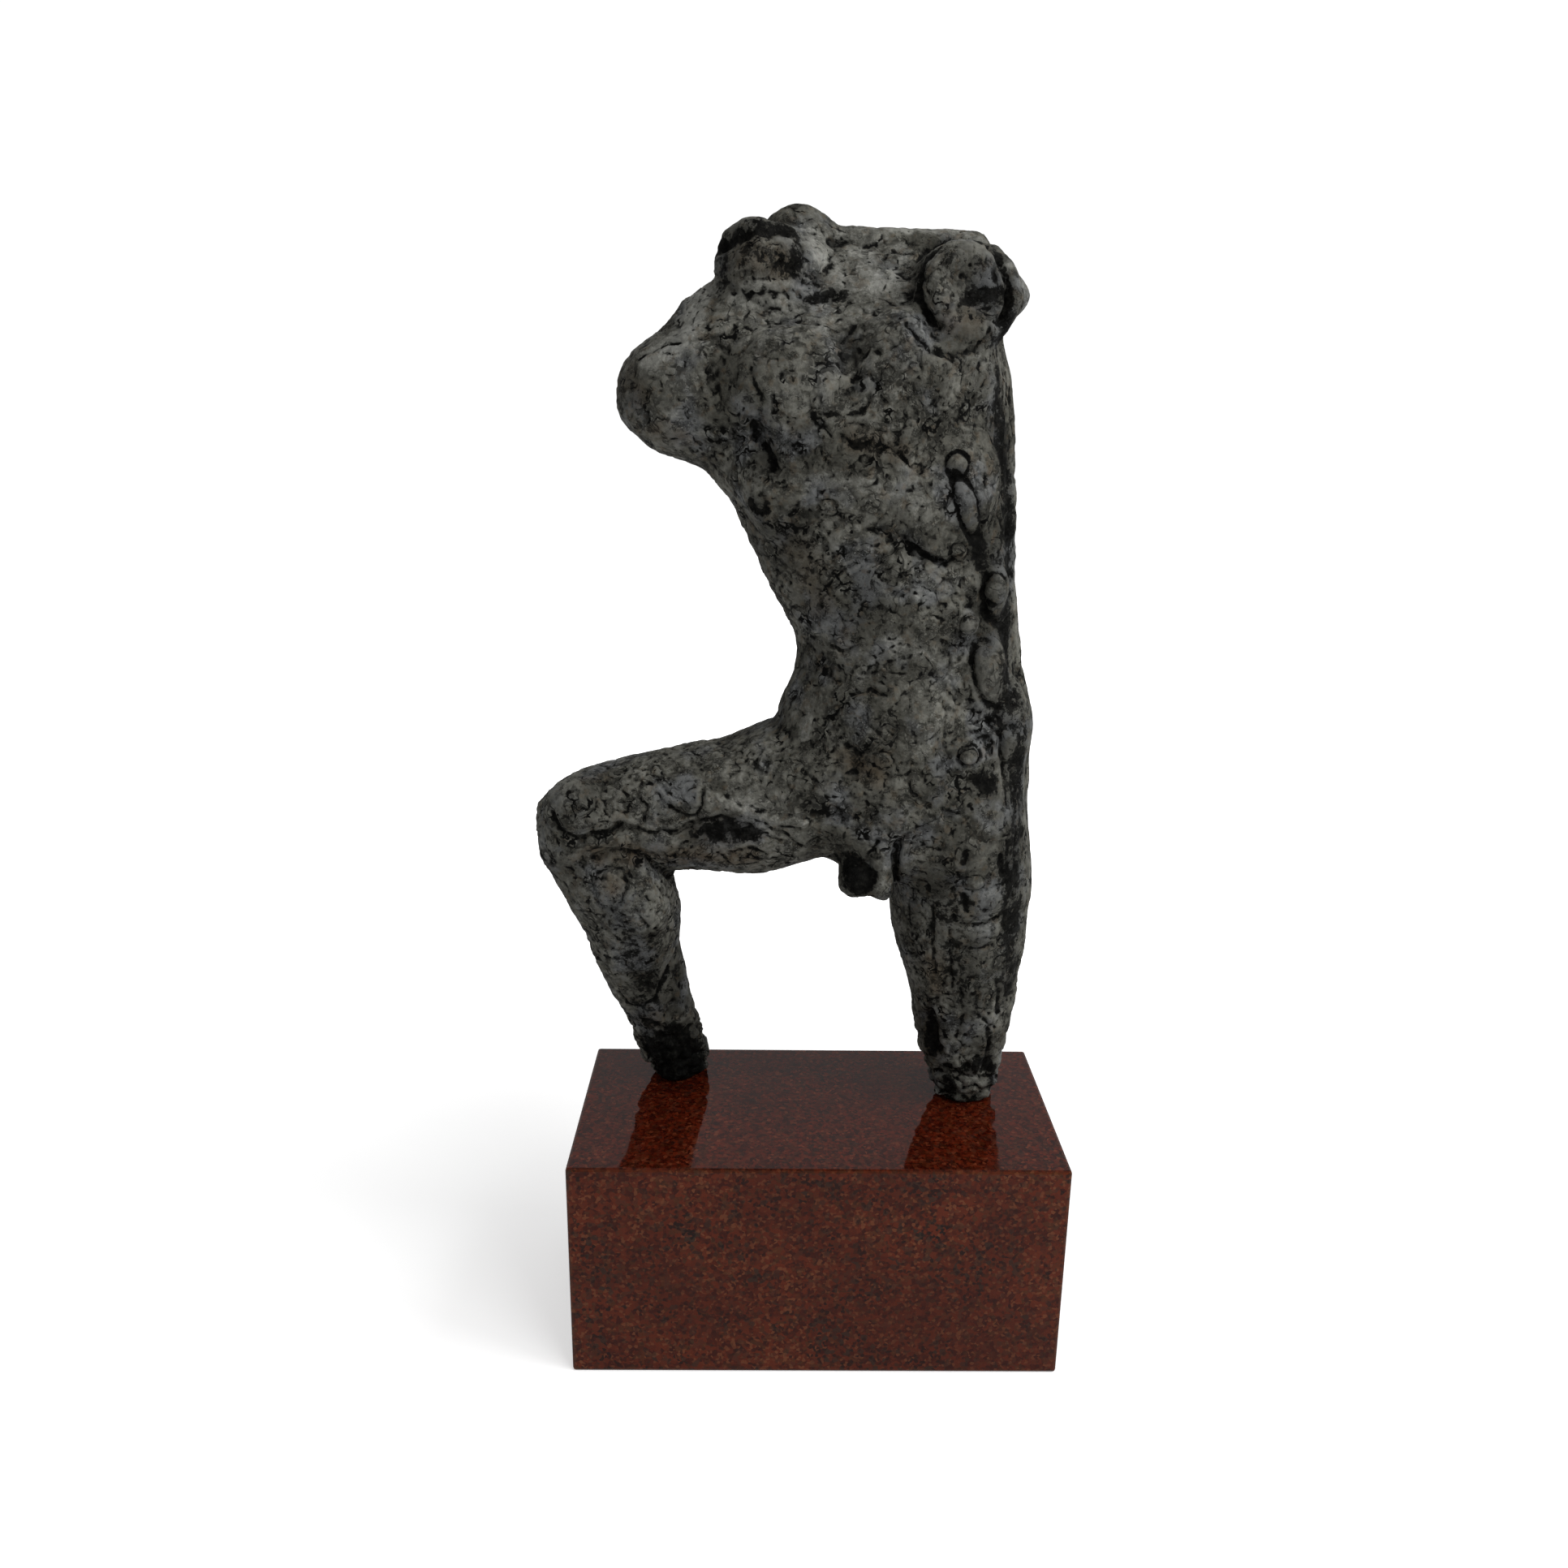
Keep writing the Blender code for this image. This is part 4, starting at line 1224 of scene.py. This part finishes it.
class Effects:
    """Effects that both finishes use, each one a node group that is built once."""

    def __init__(self) -> None:
        """Builds the groups."""
        self.grain = self.build_grain()
        self.crackle = self.build_crackle()

    def build_grain(self) -> bpy.types.NodeTree:
        """Fine grain: a gritty height, and scattered specks.

        Returns:
            The group.
        """
        group = new_group(
            "fine grain",
            {"Place": ("NodeSocketVector", 0.0), "Grains per metre": ("NodeSocketFloat", 1500.0)},
            ("Grit", "Specks"),
        )
        recipe = Recipe(group)
        given = recipe.node("NodeGroupInput")
        place, scale = given.outputs["Place"], given.outputs["Grains per metre"]
        grit = recipe.clouds(place, scale)
        specks = recipe.cells(place, recipe.times(scale, 0.4))
        few = recipe.span(recipe.channels(specks.outputs["Color"])[0], 0.72, 0.78)
        small = recipe.span(specks.outputs["Distance"], 0.18, 0.34, 1.0, 0.0)
        result = recipe.node("NodeGroupOutput")
        recipe.feed(result.inputs["Grit"], grit.outputs["Fac"])
        recipe.feed(result.inputs["Specks"], recipe.times(few, small))
        return group

    def build_crackle(self) -> bpy.types.NodeTree:
        """Crackle: short, wandering cracks that break off and start again.

        Returns:
            The group.
        """
        group = new_group(
            "crackle",
            {
                "Place": ("NodeSocketVector", 0.0),
                "Cracks per metre": ("NodeSocketFloat", 180.0),
                "Width": ("NodeSocketFloat", 0.05),
                "Cover": ("NodeSocketFloat", 0.5),
            },
            ("Crack",),
        )
        recipe = Recipe(group)
        given = recipe.node("NodeGroupInput")
        still, scale = given.outputs["Place"], given.outputs["Cracks per metre"]
        width = given.outputs["Width"]
        push = recipe.clouds(still, recipe.times(scale, 1.4), 3.0)
        place = recipe.shifted(still, push.outputs["Color"], 3.4 * MM)
        nets = recipe.cells(place, scale, "DISTANCE_TO_EDGE")
        worms = recipe.clouds(place, recipe.times(scale, 1.1), 1.5)
        off = recipe.math("ABSOLUTE", recipe.less(worms.outputs["Fac"], 0.5))
        worm, net = (
            recipe.less(3.0, recipe.math("DIVIDE", away, recipe.times(width, part)), True)
            for away, part in ((off, 0.11), (nets.outputs["Distance"], 0.23))
        )
        gaps = recipe.clouds(still, recipe.times(scale, 0.62), 3.0)
        bar = recipe.times(recipe.less(1.0, given.outputs["Cover"]), 0.9)
        shown = recipe.math("MULTIPLY", recipe.less(gaps.outputs["Fac"], bar), 9.0, True)
        both = recipe.most(worm, recipe.times(net, 0.7))
        result = recipe.node("NodeGroupOutput")
        recipe.feed(result.inputs["Crack"], recipe.times(both, shown))
        return group

    def place(self, recipe: Recipe, group: bpy.types.NodeTree, **values: object) -> bpy.types.Node:
        """Adds one of the groups to a material.

        Args:
            recipe: The material's tree.
            group: The group.
            values: Its inputs by name, with spaces written as underscores.

        Returns:
            The group's node.
        """
        made = recipe.node("ShaderNodeGroup", node_tree=group)
        for name, value in values.items():
            recipe.feed(made.inputs[name.replace("_", " ")], value)
        return made

    def cracks(
        self, recipe: Recipe, place: object, scale: float, width: float, cover: float
    ) -> bpy.types.NodeSocket:
        """Lays crackle over a material.

        Args:
            recipe: The material's tree.
            place: The Object coordinates.
            scale: Cracks to a metre.
            width: How wide they are.
            cover: How much of the surface has them.

        Returns:
            1 in the cracks and 0 beside them.
        """
        made = self.place(
            recipe, self.crackle, Place=place, Cracks_per_metre=scale, Width=width, Cover=cover
        )
        return made.outputs[0]


def new_material(name: str) -> tuple[bpy.types.Material, Recipe, bpy.types.Node]:
    """Makes a material that holds only its shader.

    Args:
        name: Its name.

    Returns:
        The material, its recipe and its Principled shader.
    """
    made = bpy.data.materials.new(name)
    made.use_nodes = True
    made.node_tree.nodes.clear()
    recipe = Recipe(made.node_tree)
    shader = recipe.node("ShaderNodeBsdfPrincipled")
    out = recipe.node("ShaderNodeOutputMaterial")
    recipe.feed(out.inputs["Surface"], shader.outputs[0])
    return made, recipe, shader


@dataclass(frozen=True)
class ClayFinish:
    """Fired clay under a black wash that stays in its hollows and is rubbed off its ridges; some of its
    named patches are painted shade and painted light.
    """

    effects: Effects
    body: Colour = paint(92, 91, 84)
    dark_body: Colour = paint(64, 63, 57)
    cool: Colour = paint(97, 99, 101)
    pale: Colour = paint(136, 136, 130)
    brown: Colour = paint(88, 74, 56)
    black: Colour = paint(6, 6, 5)
    roughness: float = 0.7
    gloss: float = 0.05
    curls_per_metre: float = 340.0
    small_curls_per_metre: float = 760.0
    grains_per_metre: float = 1300.0
    wide_cracks: tuple[float, float, float] = (150.0, 0.12, 0.47)
    narrow_cracks: tuple[float, float, float] = (330.0, 0.21, 0.465)
    bump_strength: float = 0.6
    bump_depth: float = 0.5 * MM

    def material(self) -> bpy.types.Material:
        """The clay's material.

        Returns:
            The material.
        """
        made, recipe, shader = new_material("washed terracotta")
        place = recipe.node("ShaderNodeTexCoord").outputs["Object"]
        fine_relief, broad_relief, _ = recipe.channels(self.attribute(recipe, "relief"))
        sooty_and_shaded, rusty, chalky_and_lit = recipe.channels(self.attribute(recipe, "wash_shade_and_light"))
        grain = self.effects.place(
            recipe, self.effects.grain, Place=place, Grains_per_metre=self.grains_per_metre
        )
        grit, specks = grain.outputs["Grit"], grain.outputs["Specks"]
        wide = self.effects.cracks(recipe, place, *self.wide_cracks)
        narrow = self.effects.cracks(recipe, place, *self.narrow_cracks)
        cracks = recipe.most(wide, recipe.times(narrow, 0.78))
        curls = self.curls(recipe, place, self.curls_per_metre)
        small_curls = self.curls(recipe, place, self.small_curls_per_metre)
        drift = recipe.cloud(place, 36.0, 3.0, 0.5)
        mottle = recipe.cloud(place, 120.0, 4.0, 0.62)
        fine = recipe.cloud(place, 420.0, 4.0, 0.7)
        ragged = recipe.less(recipe.plus(fine, recipe.times(mottle, 0.8)), 0.9)

        # The clay itself: grey, darker and cooler in places.
        tone = recipe.plus(recipe.times(drift, 0.55), recipe.times(mottle, 0.45))
        colour = recipe.blend(recipe.span(tone, 0.37, 0.62), self.dark_body, self.body)
        cool = recipe.span(recipe.cloud(place, 52.0), 0.5, 0.66, 0.0, 0.7)
        colour = recipe.blend(cool, colour, self.cool)

        # Rubbed pale on crests and ridges, and chalky where it is named; some named chalk is painted light
        # from above, with painted highlights along the top edge and on the left knee.
        crests = [
            recipe.span(curls, 0.58, 0.72, 0.0, 0.8),
            recipe.span(small_curls, 0.56, 0.7, 0.0, 0.8),
            recipe.span(fine_relief, 0.45, 0.15),
        ]
        rubbed = recipe.times(recipe.most(*crests), recipe.span(drift, 0.38, 0.6, 0.05, 0.28))
        chalk_and_light = recipe.span(recipe.plus(chalky_and_lit, recipe.times(ragged, 0.9)), 0.2, 1.0, 0.0, 0.68)
        colour = recipe.blend(recipe.most(rubbed, chalk_and_light), colour, self.pale)
        colour = recipe.blend(1.0, colour, recipe.span(fine, 0.3, 0.7, 0.76, 1.24), "MULTIPLY")

        # Browner where it is named, and in a few spots and patches.
        brown = recipe.most(
            recipe.times(rusty, recipe.span(mottle, 0.38, 0.58, 0.3, 0.9)),
            recipe.span(recipe.cloud(place, 250.0, 2.0), 0.56, 0.7, 0.0, 0.32),
            recipe.span(recipe.cloud(place, 85.0, 3.0, 0.6), 0.6, 0.78, 0.0, 0.45),
        )
        colour = recipe.blend(brown, colour, self.brown)

        # The black wash: in hollows, between curls, in named stains, cracks and specks; some named patches
        # are painted shade, on the neck stump, round the shoulder disc, under the right thigh and down the
        # legs.
        patchy = recipe.span(recipe.cloud(place, 260.0, 4.0, 0.66), 0.36, 0.58, 0.25, 1.0)
        hollow = recipe.span(fine_relief, 0.55, 0.9)
        sunk = recipe.span(broad_relief, 0.57, 0.95, 0.0, 0.8)
        pooled = recipe.times(recipe.most(hollow, sunk), patchy)
        dark = recipe.most(*(recipe.span(value, 0.4, 0.28, 0.0, 0.4) for value in (curls, small_curls)))
        dark = recipe.times(dark, recipe.span(recipe.cloud(place, 60.0, 3.0, 0.6), 0.38, 0.62, 0.25, 1.0))
        calm = recipe.less(1.0, recipe.times(chalky_and_lit, 0.9), True)
        torn = recipe.times(ragged, recipe.span(sooty_and_shaded, 0.0, 0.35, 0.5, 1.6))
        caked_and_shaded = recipe.span(recipe.plus(sooty_and_shaded, torn), 0.39, 0.74)
        caked_and_shaded = recipe.times(caked_and_shaded, recipe.span(fine, 0.45, 0.66, 1.0, 0.93))
        soot_and_shade = recipe.most(
            caked_and_shaded,
            recipe.times(sooty_and_shaded, 0.62),
            pooled,
            recipe.times(dark, calm),
            recipe.times(cracks, calm),
            recipe.times(specks, 0.35),
        )
        colour = recipe.blend(soot_and_shade, colour, self.black)
        recipe.feed(shader.inputs["Base Color"], colour)
        dull = recipe.span(mottle, 0.3, 0.7, self.roughness - 0.12, self.roughness + 0.14)
        recipe.feed(shader.inputs["Roughness"], dull)
        shader.inputs["Specular IOR Level"].default_value = self.gloss

        height = recipe.plus(recipe.times(curls, 0.9), recipe.times(small_curls, 0.5))
        height = recipe.plus(height, recipe.times(grit, 0.15))
        height = recipe.less(height, recipe.times(cracks, 0.7))
        height = recipe.less(height, recipe.times(specks, 0.2))
        recipe.bump(shader, height, self.bump_strength, self.bump_depth)
        return made

    def attribute(self, recipe: Recipe, name: str) -> bpy.types.NodeSocket:
        """Reads what the figure has recorded under a name."""
        return recipe.node("ShaderNodeAttribute", attribute_name=name).outputs["Color"]

    def curls(self, recipe: Recipe, place: bpy.types.NodeSocket, scale: float) -> bpy.types.NodeSocket:
        """Short curved strokes, as fingers and tools leave them.

        Args:
            recipe: The material's tree.
            place: The Object coordinates.
            scale: Strokes to a metre.

        Returns:
            A value from 0 in the hollows to 1 on the crests.
        """
        made = recipe.clouds(place, scale, 2.2)
        made.inputs["Distortion"].default_value = 1.6
        return made.outputs["Fac"]


@dataclass(frozen=True)
class GraniteFinish:
    """Polished red granite: close, dark red grains with browner, greyer and black ones among them."""

    effects: Effects
    half_size: tuple[float, float] = (0.100, 0.050)
    height: float = 0.095
    red: Colour = paint(86, 32, 13)
    deep_red: Colour = paint(53, 14, 5)
    # Painted shade: the colour that the block's top is drawn towards.
    polished: Colour = paint(66, 23, 15)
    pink: Colour = paint(104, 58, 35)
    brown: Colour = paint(70, 39, 19)
    grey: Colour = paint(46, 35, 27)
    black: Colour = paint(16, 10, 8)
    # Painted shade: a darker, redder tint over the block's top.
    top_shade_tint: Colour = (0.5, 0.22, 0.2, 1.0)
    polish: float = 0.05
    gloss: float = 0.165
    large_per_metre: float = 470.0
    small_per_metre: float = 820.0
    specks_per_metre: float = 900.0
    hair_cracks: tuple[float, float, float] = (60.0, 0.012, 0.36)
    bump_strength: float = 0.12
    bump_depth: float = 0.1 * MM

    def material(self) -> bpy.types.Material:
        """The granite's material.

        Returns:
            The material.
        """
        made, recipe, shader = new_material("polished red granite")
        place = recipe.node("ShaderNodeTexCoord").outputs["Object"]
        loose = recipe.shifted(place, recipe.clouds(place, 600.0).outputs["Color"], 0.12 * MM)
        large, small = (
            recipe.channels(recipe.cells(loose, scale).outputs["Color"])
            for scale in (self.large_per_metre, self.small_per_metre)
        )
        clusters = recipe.span(recipe.cloud(place, 48.0, 3.0, 0.6), 0.42, 0.66, 0.35, 1.0)
        rub = self.arris(recipe, place)
        colour = recipe.blend(recipe.span(large[0], 0.15, 0.85), self.deep_red, self.red)
        for amount, grain_colour in (
            (recipe.span(small[0], 0.5, 0.95, 0.0, 0.7), self.red),
            (recipe.span(large[1], 0.72, 0.95, 0.0, 0.7), self.brown),
            (recipe.span(small[2], 0.78, 0.92, 0.0, 0.8), self.pink),
            (recipe.times(recipe.span(large[2], 0.8, 0.9), clusters), self.grey),
            (recipe.times(recipe.times(recipe.span(small[1], 0.78, 0.84), clusters), 0.95), self.black),
            (recipe.span(recipe.cloud(place, 70.0, 3.0, 0.6), 0.62, 0.74, 0.0, 0.32), self.grey),
            (recipe.span(recipe.cloud(place, 24.0, 2.0), 0.38, 0.62, 0.0, 0.35), self.deep_red),
            (recipe.times(rub, 0.25), self.brown),
        ):
            colour = recipe.blend(amount, colour, grain_colour)

        # The top is darker and redder than the sides: painted shade, as it falls on the top under the
        # figure. Its flecks stand out more.
        up = recipe.axes(place)[2]
        top = recipe.span(up, self.height - 0.6 * MM, self.height - 0.1 * MM)
        colour = recipe.blend(recipe.times(top, 0.2), colour, self.polished)
        colour = recipe.blend(recipe.times(top, 0.48), colour, self.top_shade_tint, "MULTIPLY")
        flecks = recipe.span(small[0], 0.0, 1.0, 0.3, 1.8)
        colour = recipe.blend(recipe.times(top, 0.5), colour, flecks, "MULTIPLY")
        recipe.feed(shader.inputs["Base Color"], colour)
        smears = recipe.span(recipe.cloud(place, 60.0, 4.0, 0.6), 0.4, 0.75, self.polish, self.polish + 0.05)
        recipe.feed(shader.inputs["Roughness"], recipe.plus(smears, recipe.times(rub, 0.2)))
        shader.inputs["Specular IOR Level"].default_value = self.gloss

        grain = self.effects.place(
            recipe, self.effects.grain, Place=place, Grains_per_metre=self.specks_per_metre
        )
        hair = self.effects.cracks(recipe, place, *self.hair_cracks)
        height = recipe.plus(recipe.times(grain.outputs["Specks"], 0.6), recipe.times(hair, 0.6))
        recipe.bump(shader, height, self.bump_strength, self.bump_depth, sunk=True)
        return made

    def arris(self, recipe: Recipe, place: bpy.types.NodeSocket) -> bpy.types.NodeSocket:
        """A mask for the block's worn edges.

        Args:
            recipe: The material's tree.
            place: The Object coordinates.

        Returns:
            1 on the arrises and 0 from about two millimetres off.
        """
        across, deep, up = recipe.axes(place)
        centred = recipe.less(up, self.height / 2)
        halves = (*self.half_size, self.height / 2)
        gaps = [
            recipe.less(half, recipe.math("ABSOLUTE", axis))
            for half, axis in zip(halves, (across, deep, centred))
        ]
        least = recipe.math("MINIMUM", recipe.math("MINIMUM", gaps[0], gaps[1]), gaps[2])
        total = recipe.plus(recipe.plus(gaps[0], gaps[1]), gaps[2])
        second = recipe.less(recipe.less(total, least), recipe.most(*gaps))
        edge = recipe.plus(least, second)
        return recipe.span(edge, 0.9 * MM, 2.0 * MM, 1.0, 0.0)


@dataclass
class GranitePlinth:
    """The polished block under the figure, which keeps the frame's own solid."""

    node: str = "plinth"

    def dress(self, frame: dict, finish: GraniteFinish) -> bpy.types.Object:
        """Gives the block its stone.

        Args:
            frame: The loaded frame.
            finish: The granite's finish.

        Returns:
            The block.
        """
        block = frame["nodes"][self.node]
        stone = finish.material()
        if not block.material_slots:
            block.data.materials.append(stone)
        for slot in block.material_slots:
            slot.material = stone
        return block


# The room


@dataclass(frozen=True)
class Lamp:
    """A square soft lamp, with its place and side in metres and its power in watts."""

    name: str
    place: tuple[float, float, float]
    side: float
    power: float


@dataclass
class Studio:
    """The pale floor, the white surroundings, the soft lamps and the camera."""

    floor_half: float = 6.0
    floor_colour: Colour = (0.86, 0.86, 0.86, 1.0)
    floor_glow: float = 0.44
    far_glow: float = 1.0
    surround: float = 0.38
    behind: float = 0.62
    glow_from: float = 0.2
    glow_to: float = 0.6
    lamps: tuple[Lamp, ...] = (
        Lamp("key", (0.9, -0.28, 1.15), 0.6, 9.5),
        Lamp("front", (0.62, -0.86, 1.0), 0.6, 5.5),
        Lamp("top", (-0.3, -0.5, 1.9), 1.2, 1.6),
    )
    aim: tuple[float, float, float] = (0.0, 0.0, 0.2)
    lens: float = 28.99237772200453
    eye: tuple[float, float, float] = (-0.02199590, -0.48484732, 0.37810926)
    right: tuple[float, float, float] = (0.99986631, -0.00996221, 0.01296610)
    up: tuple[float, float, float] = (-0.00970626, 0.27653330, 0.96095532)
    back: tuple[float, float, float] = (-0.01315879, -0.96095270, 0.27639964)

    def build(self) -> None:
        """Makes the room."""
        self.lay_floor()
        self.surroundings()
        for lamp in self.lamps:
            self.hang(lamp)
        self.place_camera()
        bpy.context.scene.view_settings.view_transform = "Standard"

    def lay_floor(self) -> None:
        """Lays the pale floor at the block's underside."""
        shape = bmesh.new()
        bmesh.ops.create_grid(shape, x_segments=1, y_segments=1, size=self.floor_half)
        mesh = bpy.data.meshes.new("floor")
        shape.to_mesh(mesh)
        shape.free()
        floor = bpy.data.objects.new("floor", mesh)
        bpy.context.scene.collection.objects.link(floor)
        made, recipe, shader = new_material("pale floor")
        shader.inputs["Base Color"].default_value = self.floor_colour
        shader.inputs["Roughness"].default_value = 0.9
        shader.inputs["Specular IOR Level"].default_value = 0.1
        seen = recipe.node("ShaderNodeLightPath").outputs["Is Camera Ray"]
        shader.inputs["Emission Color"].default_value = WHITE
        away = recipe.node("ShaderNodeVectorMath", operation="LENGTH")
        recipe.feed(away.inputs[0], recipe.node("ShaderNodeTexCoord").outputs["Object"])
        far = away.outputs["Value"]
        glow = recipe.span(far, self.glow_from, self.glow_to, self.floor_glow, self.far_glow)
        recipe.feed(shader.inputs["Emission Strength"], recipe.times(seen, glow))
        mesh.materials.append(made)

    def surroundings(self) -> None:
        """Sets white surroundings, which light the object more softly than they look."""
        world = bpy.data.worlds.new("white surroundings")
        world.use_nodes = True
        recipe = Recipe(world.node_tree)
        ground = world.node_tree.nodes["Background"]
        ground.inputs["Color"].default_value = WHITE
        seen = recipe.node("ShaderNodeLightPath").outputs["Is Camera Ray"]
        away = recipe.axes(recipe.node("ShaderNodeTexCoord").outputs["Generated"])[1]
        light = recipe.span(away, 0.3, 0.9, self.surround, self.behind)
        hidden = recipe.times(light, recipe.less(1.0, seen))
        recipe.feed(ground.inputs["Strength"], recipe.plus(hidden, recipe.times(seen, 1.05)))
        bpy.context.scene.world = world

    def hang(self, lamp: Lamp) -> None:
        """Hangs a lamp that faces the figure's middle.

        Args:
            lamp: The lamp.
        """
        light = bpy.data.lights.new(lamp.name, "AREA")
        light.shape = "SQUARE"
        light.size = lamp.side
        light.energy = lamp.power
        holder = bpy.data.objects.new(lamp.name, light)
        turn = (Vector(self.aim) - Vector(lamp.place)).to_track_quat("-Z", "Y")
        holder.matrix_world = Matrix.Translation(lamp.place) @ turn.to_matrix().to_4x4()
        bpy.context.scene.collection.objects.link(holder)

    def place_camera(self) -> None:
        """Puts the camera where the photograph was taken from."""
        data = bpy.data.cameras.new("camera")
        data.sensor_fit = "HORIZONTAL"
        data.sensor_width = 36.0
        data.lens = self.lens
        data.clip_start = 0.01
        camera = bpy.data.objects.new("camera", data)
        turned = Matrix((self.right, self.up, self.back)).transposed().to_4x4()
        camera.matrix_world = Matrix.Translation(self.eye) @ turned
        bpy.context.scene.collection.objects.link(camera)
        bpy.context.scene.camera = camera


def main() -> None:
    """Loads the frame, dresses both pieces, builds the room and notes the sizes."""
    logging.basicConfig(level=logging.INFO, format="%(name)s: %(message)s")
    noise.seed_set(NOISE_SEED)
    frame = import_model()
    Studio().build()
    effects = Effects()
    figure = ClayFigure().build(frame, ClayFinish(effects))
    LOG.info("%s: %d faces", figure.name, len(figure.data.polygons))
    block = GranitePlinth().dress(frame, GraniteFinish(effects))
    LOG.info("%s: %d faces", block.name, len(block.data.polygons))


if __name__ == "__main__":
    main()
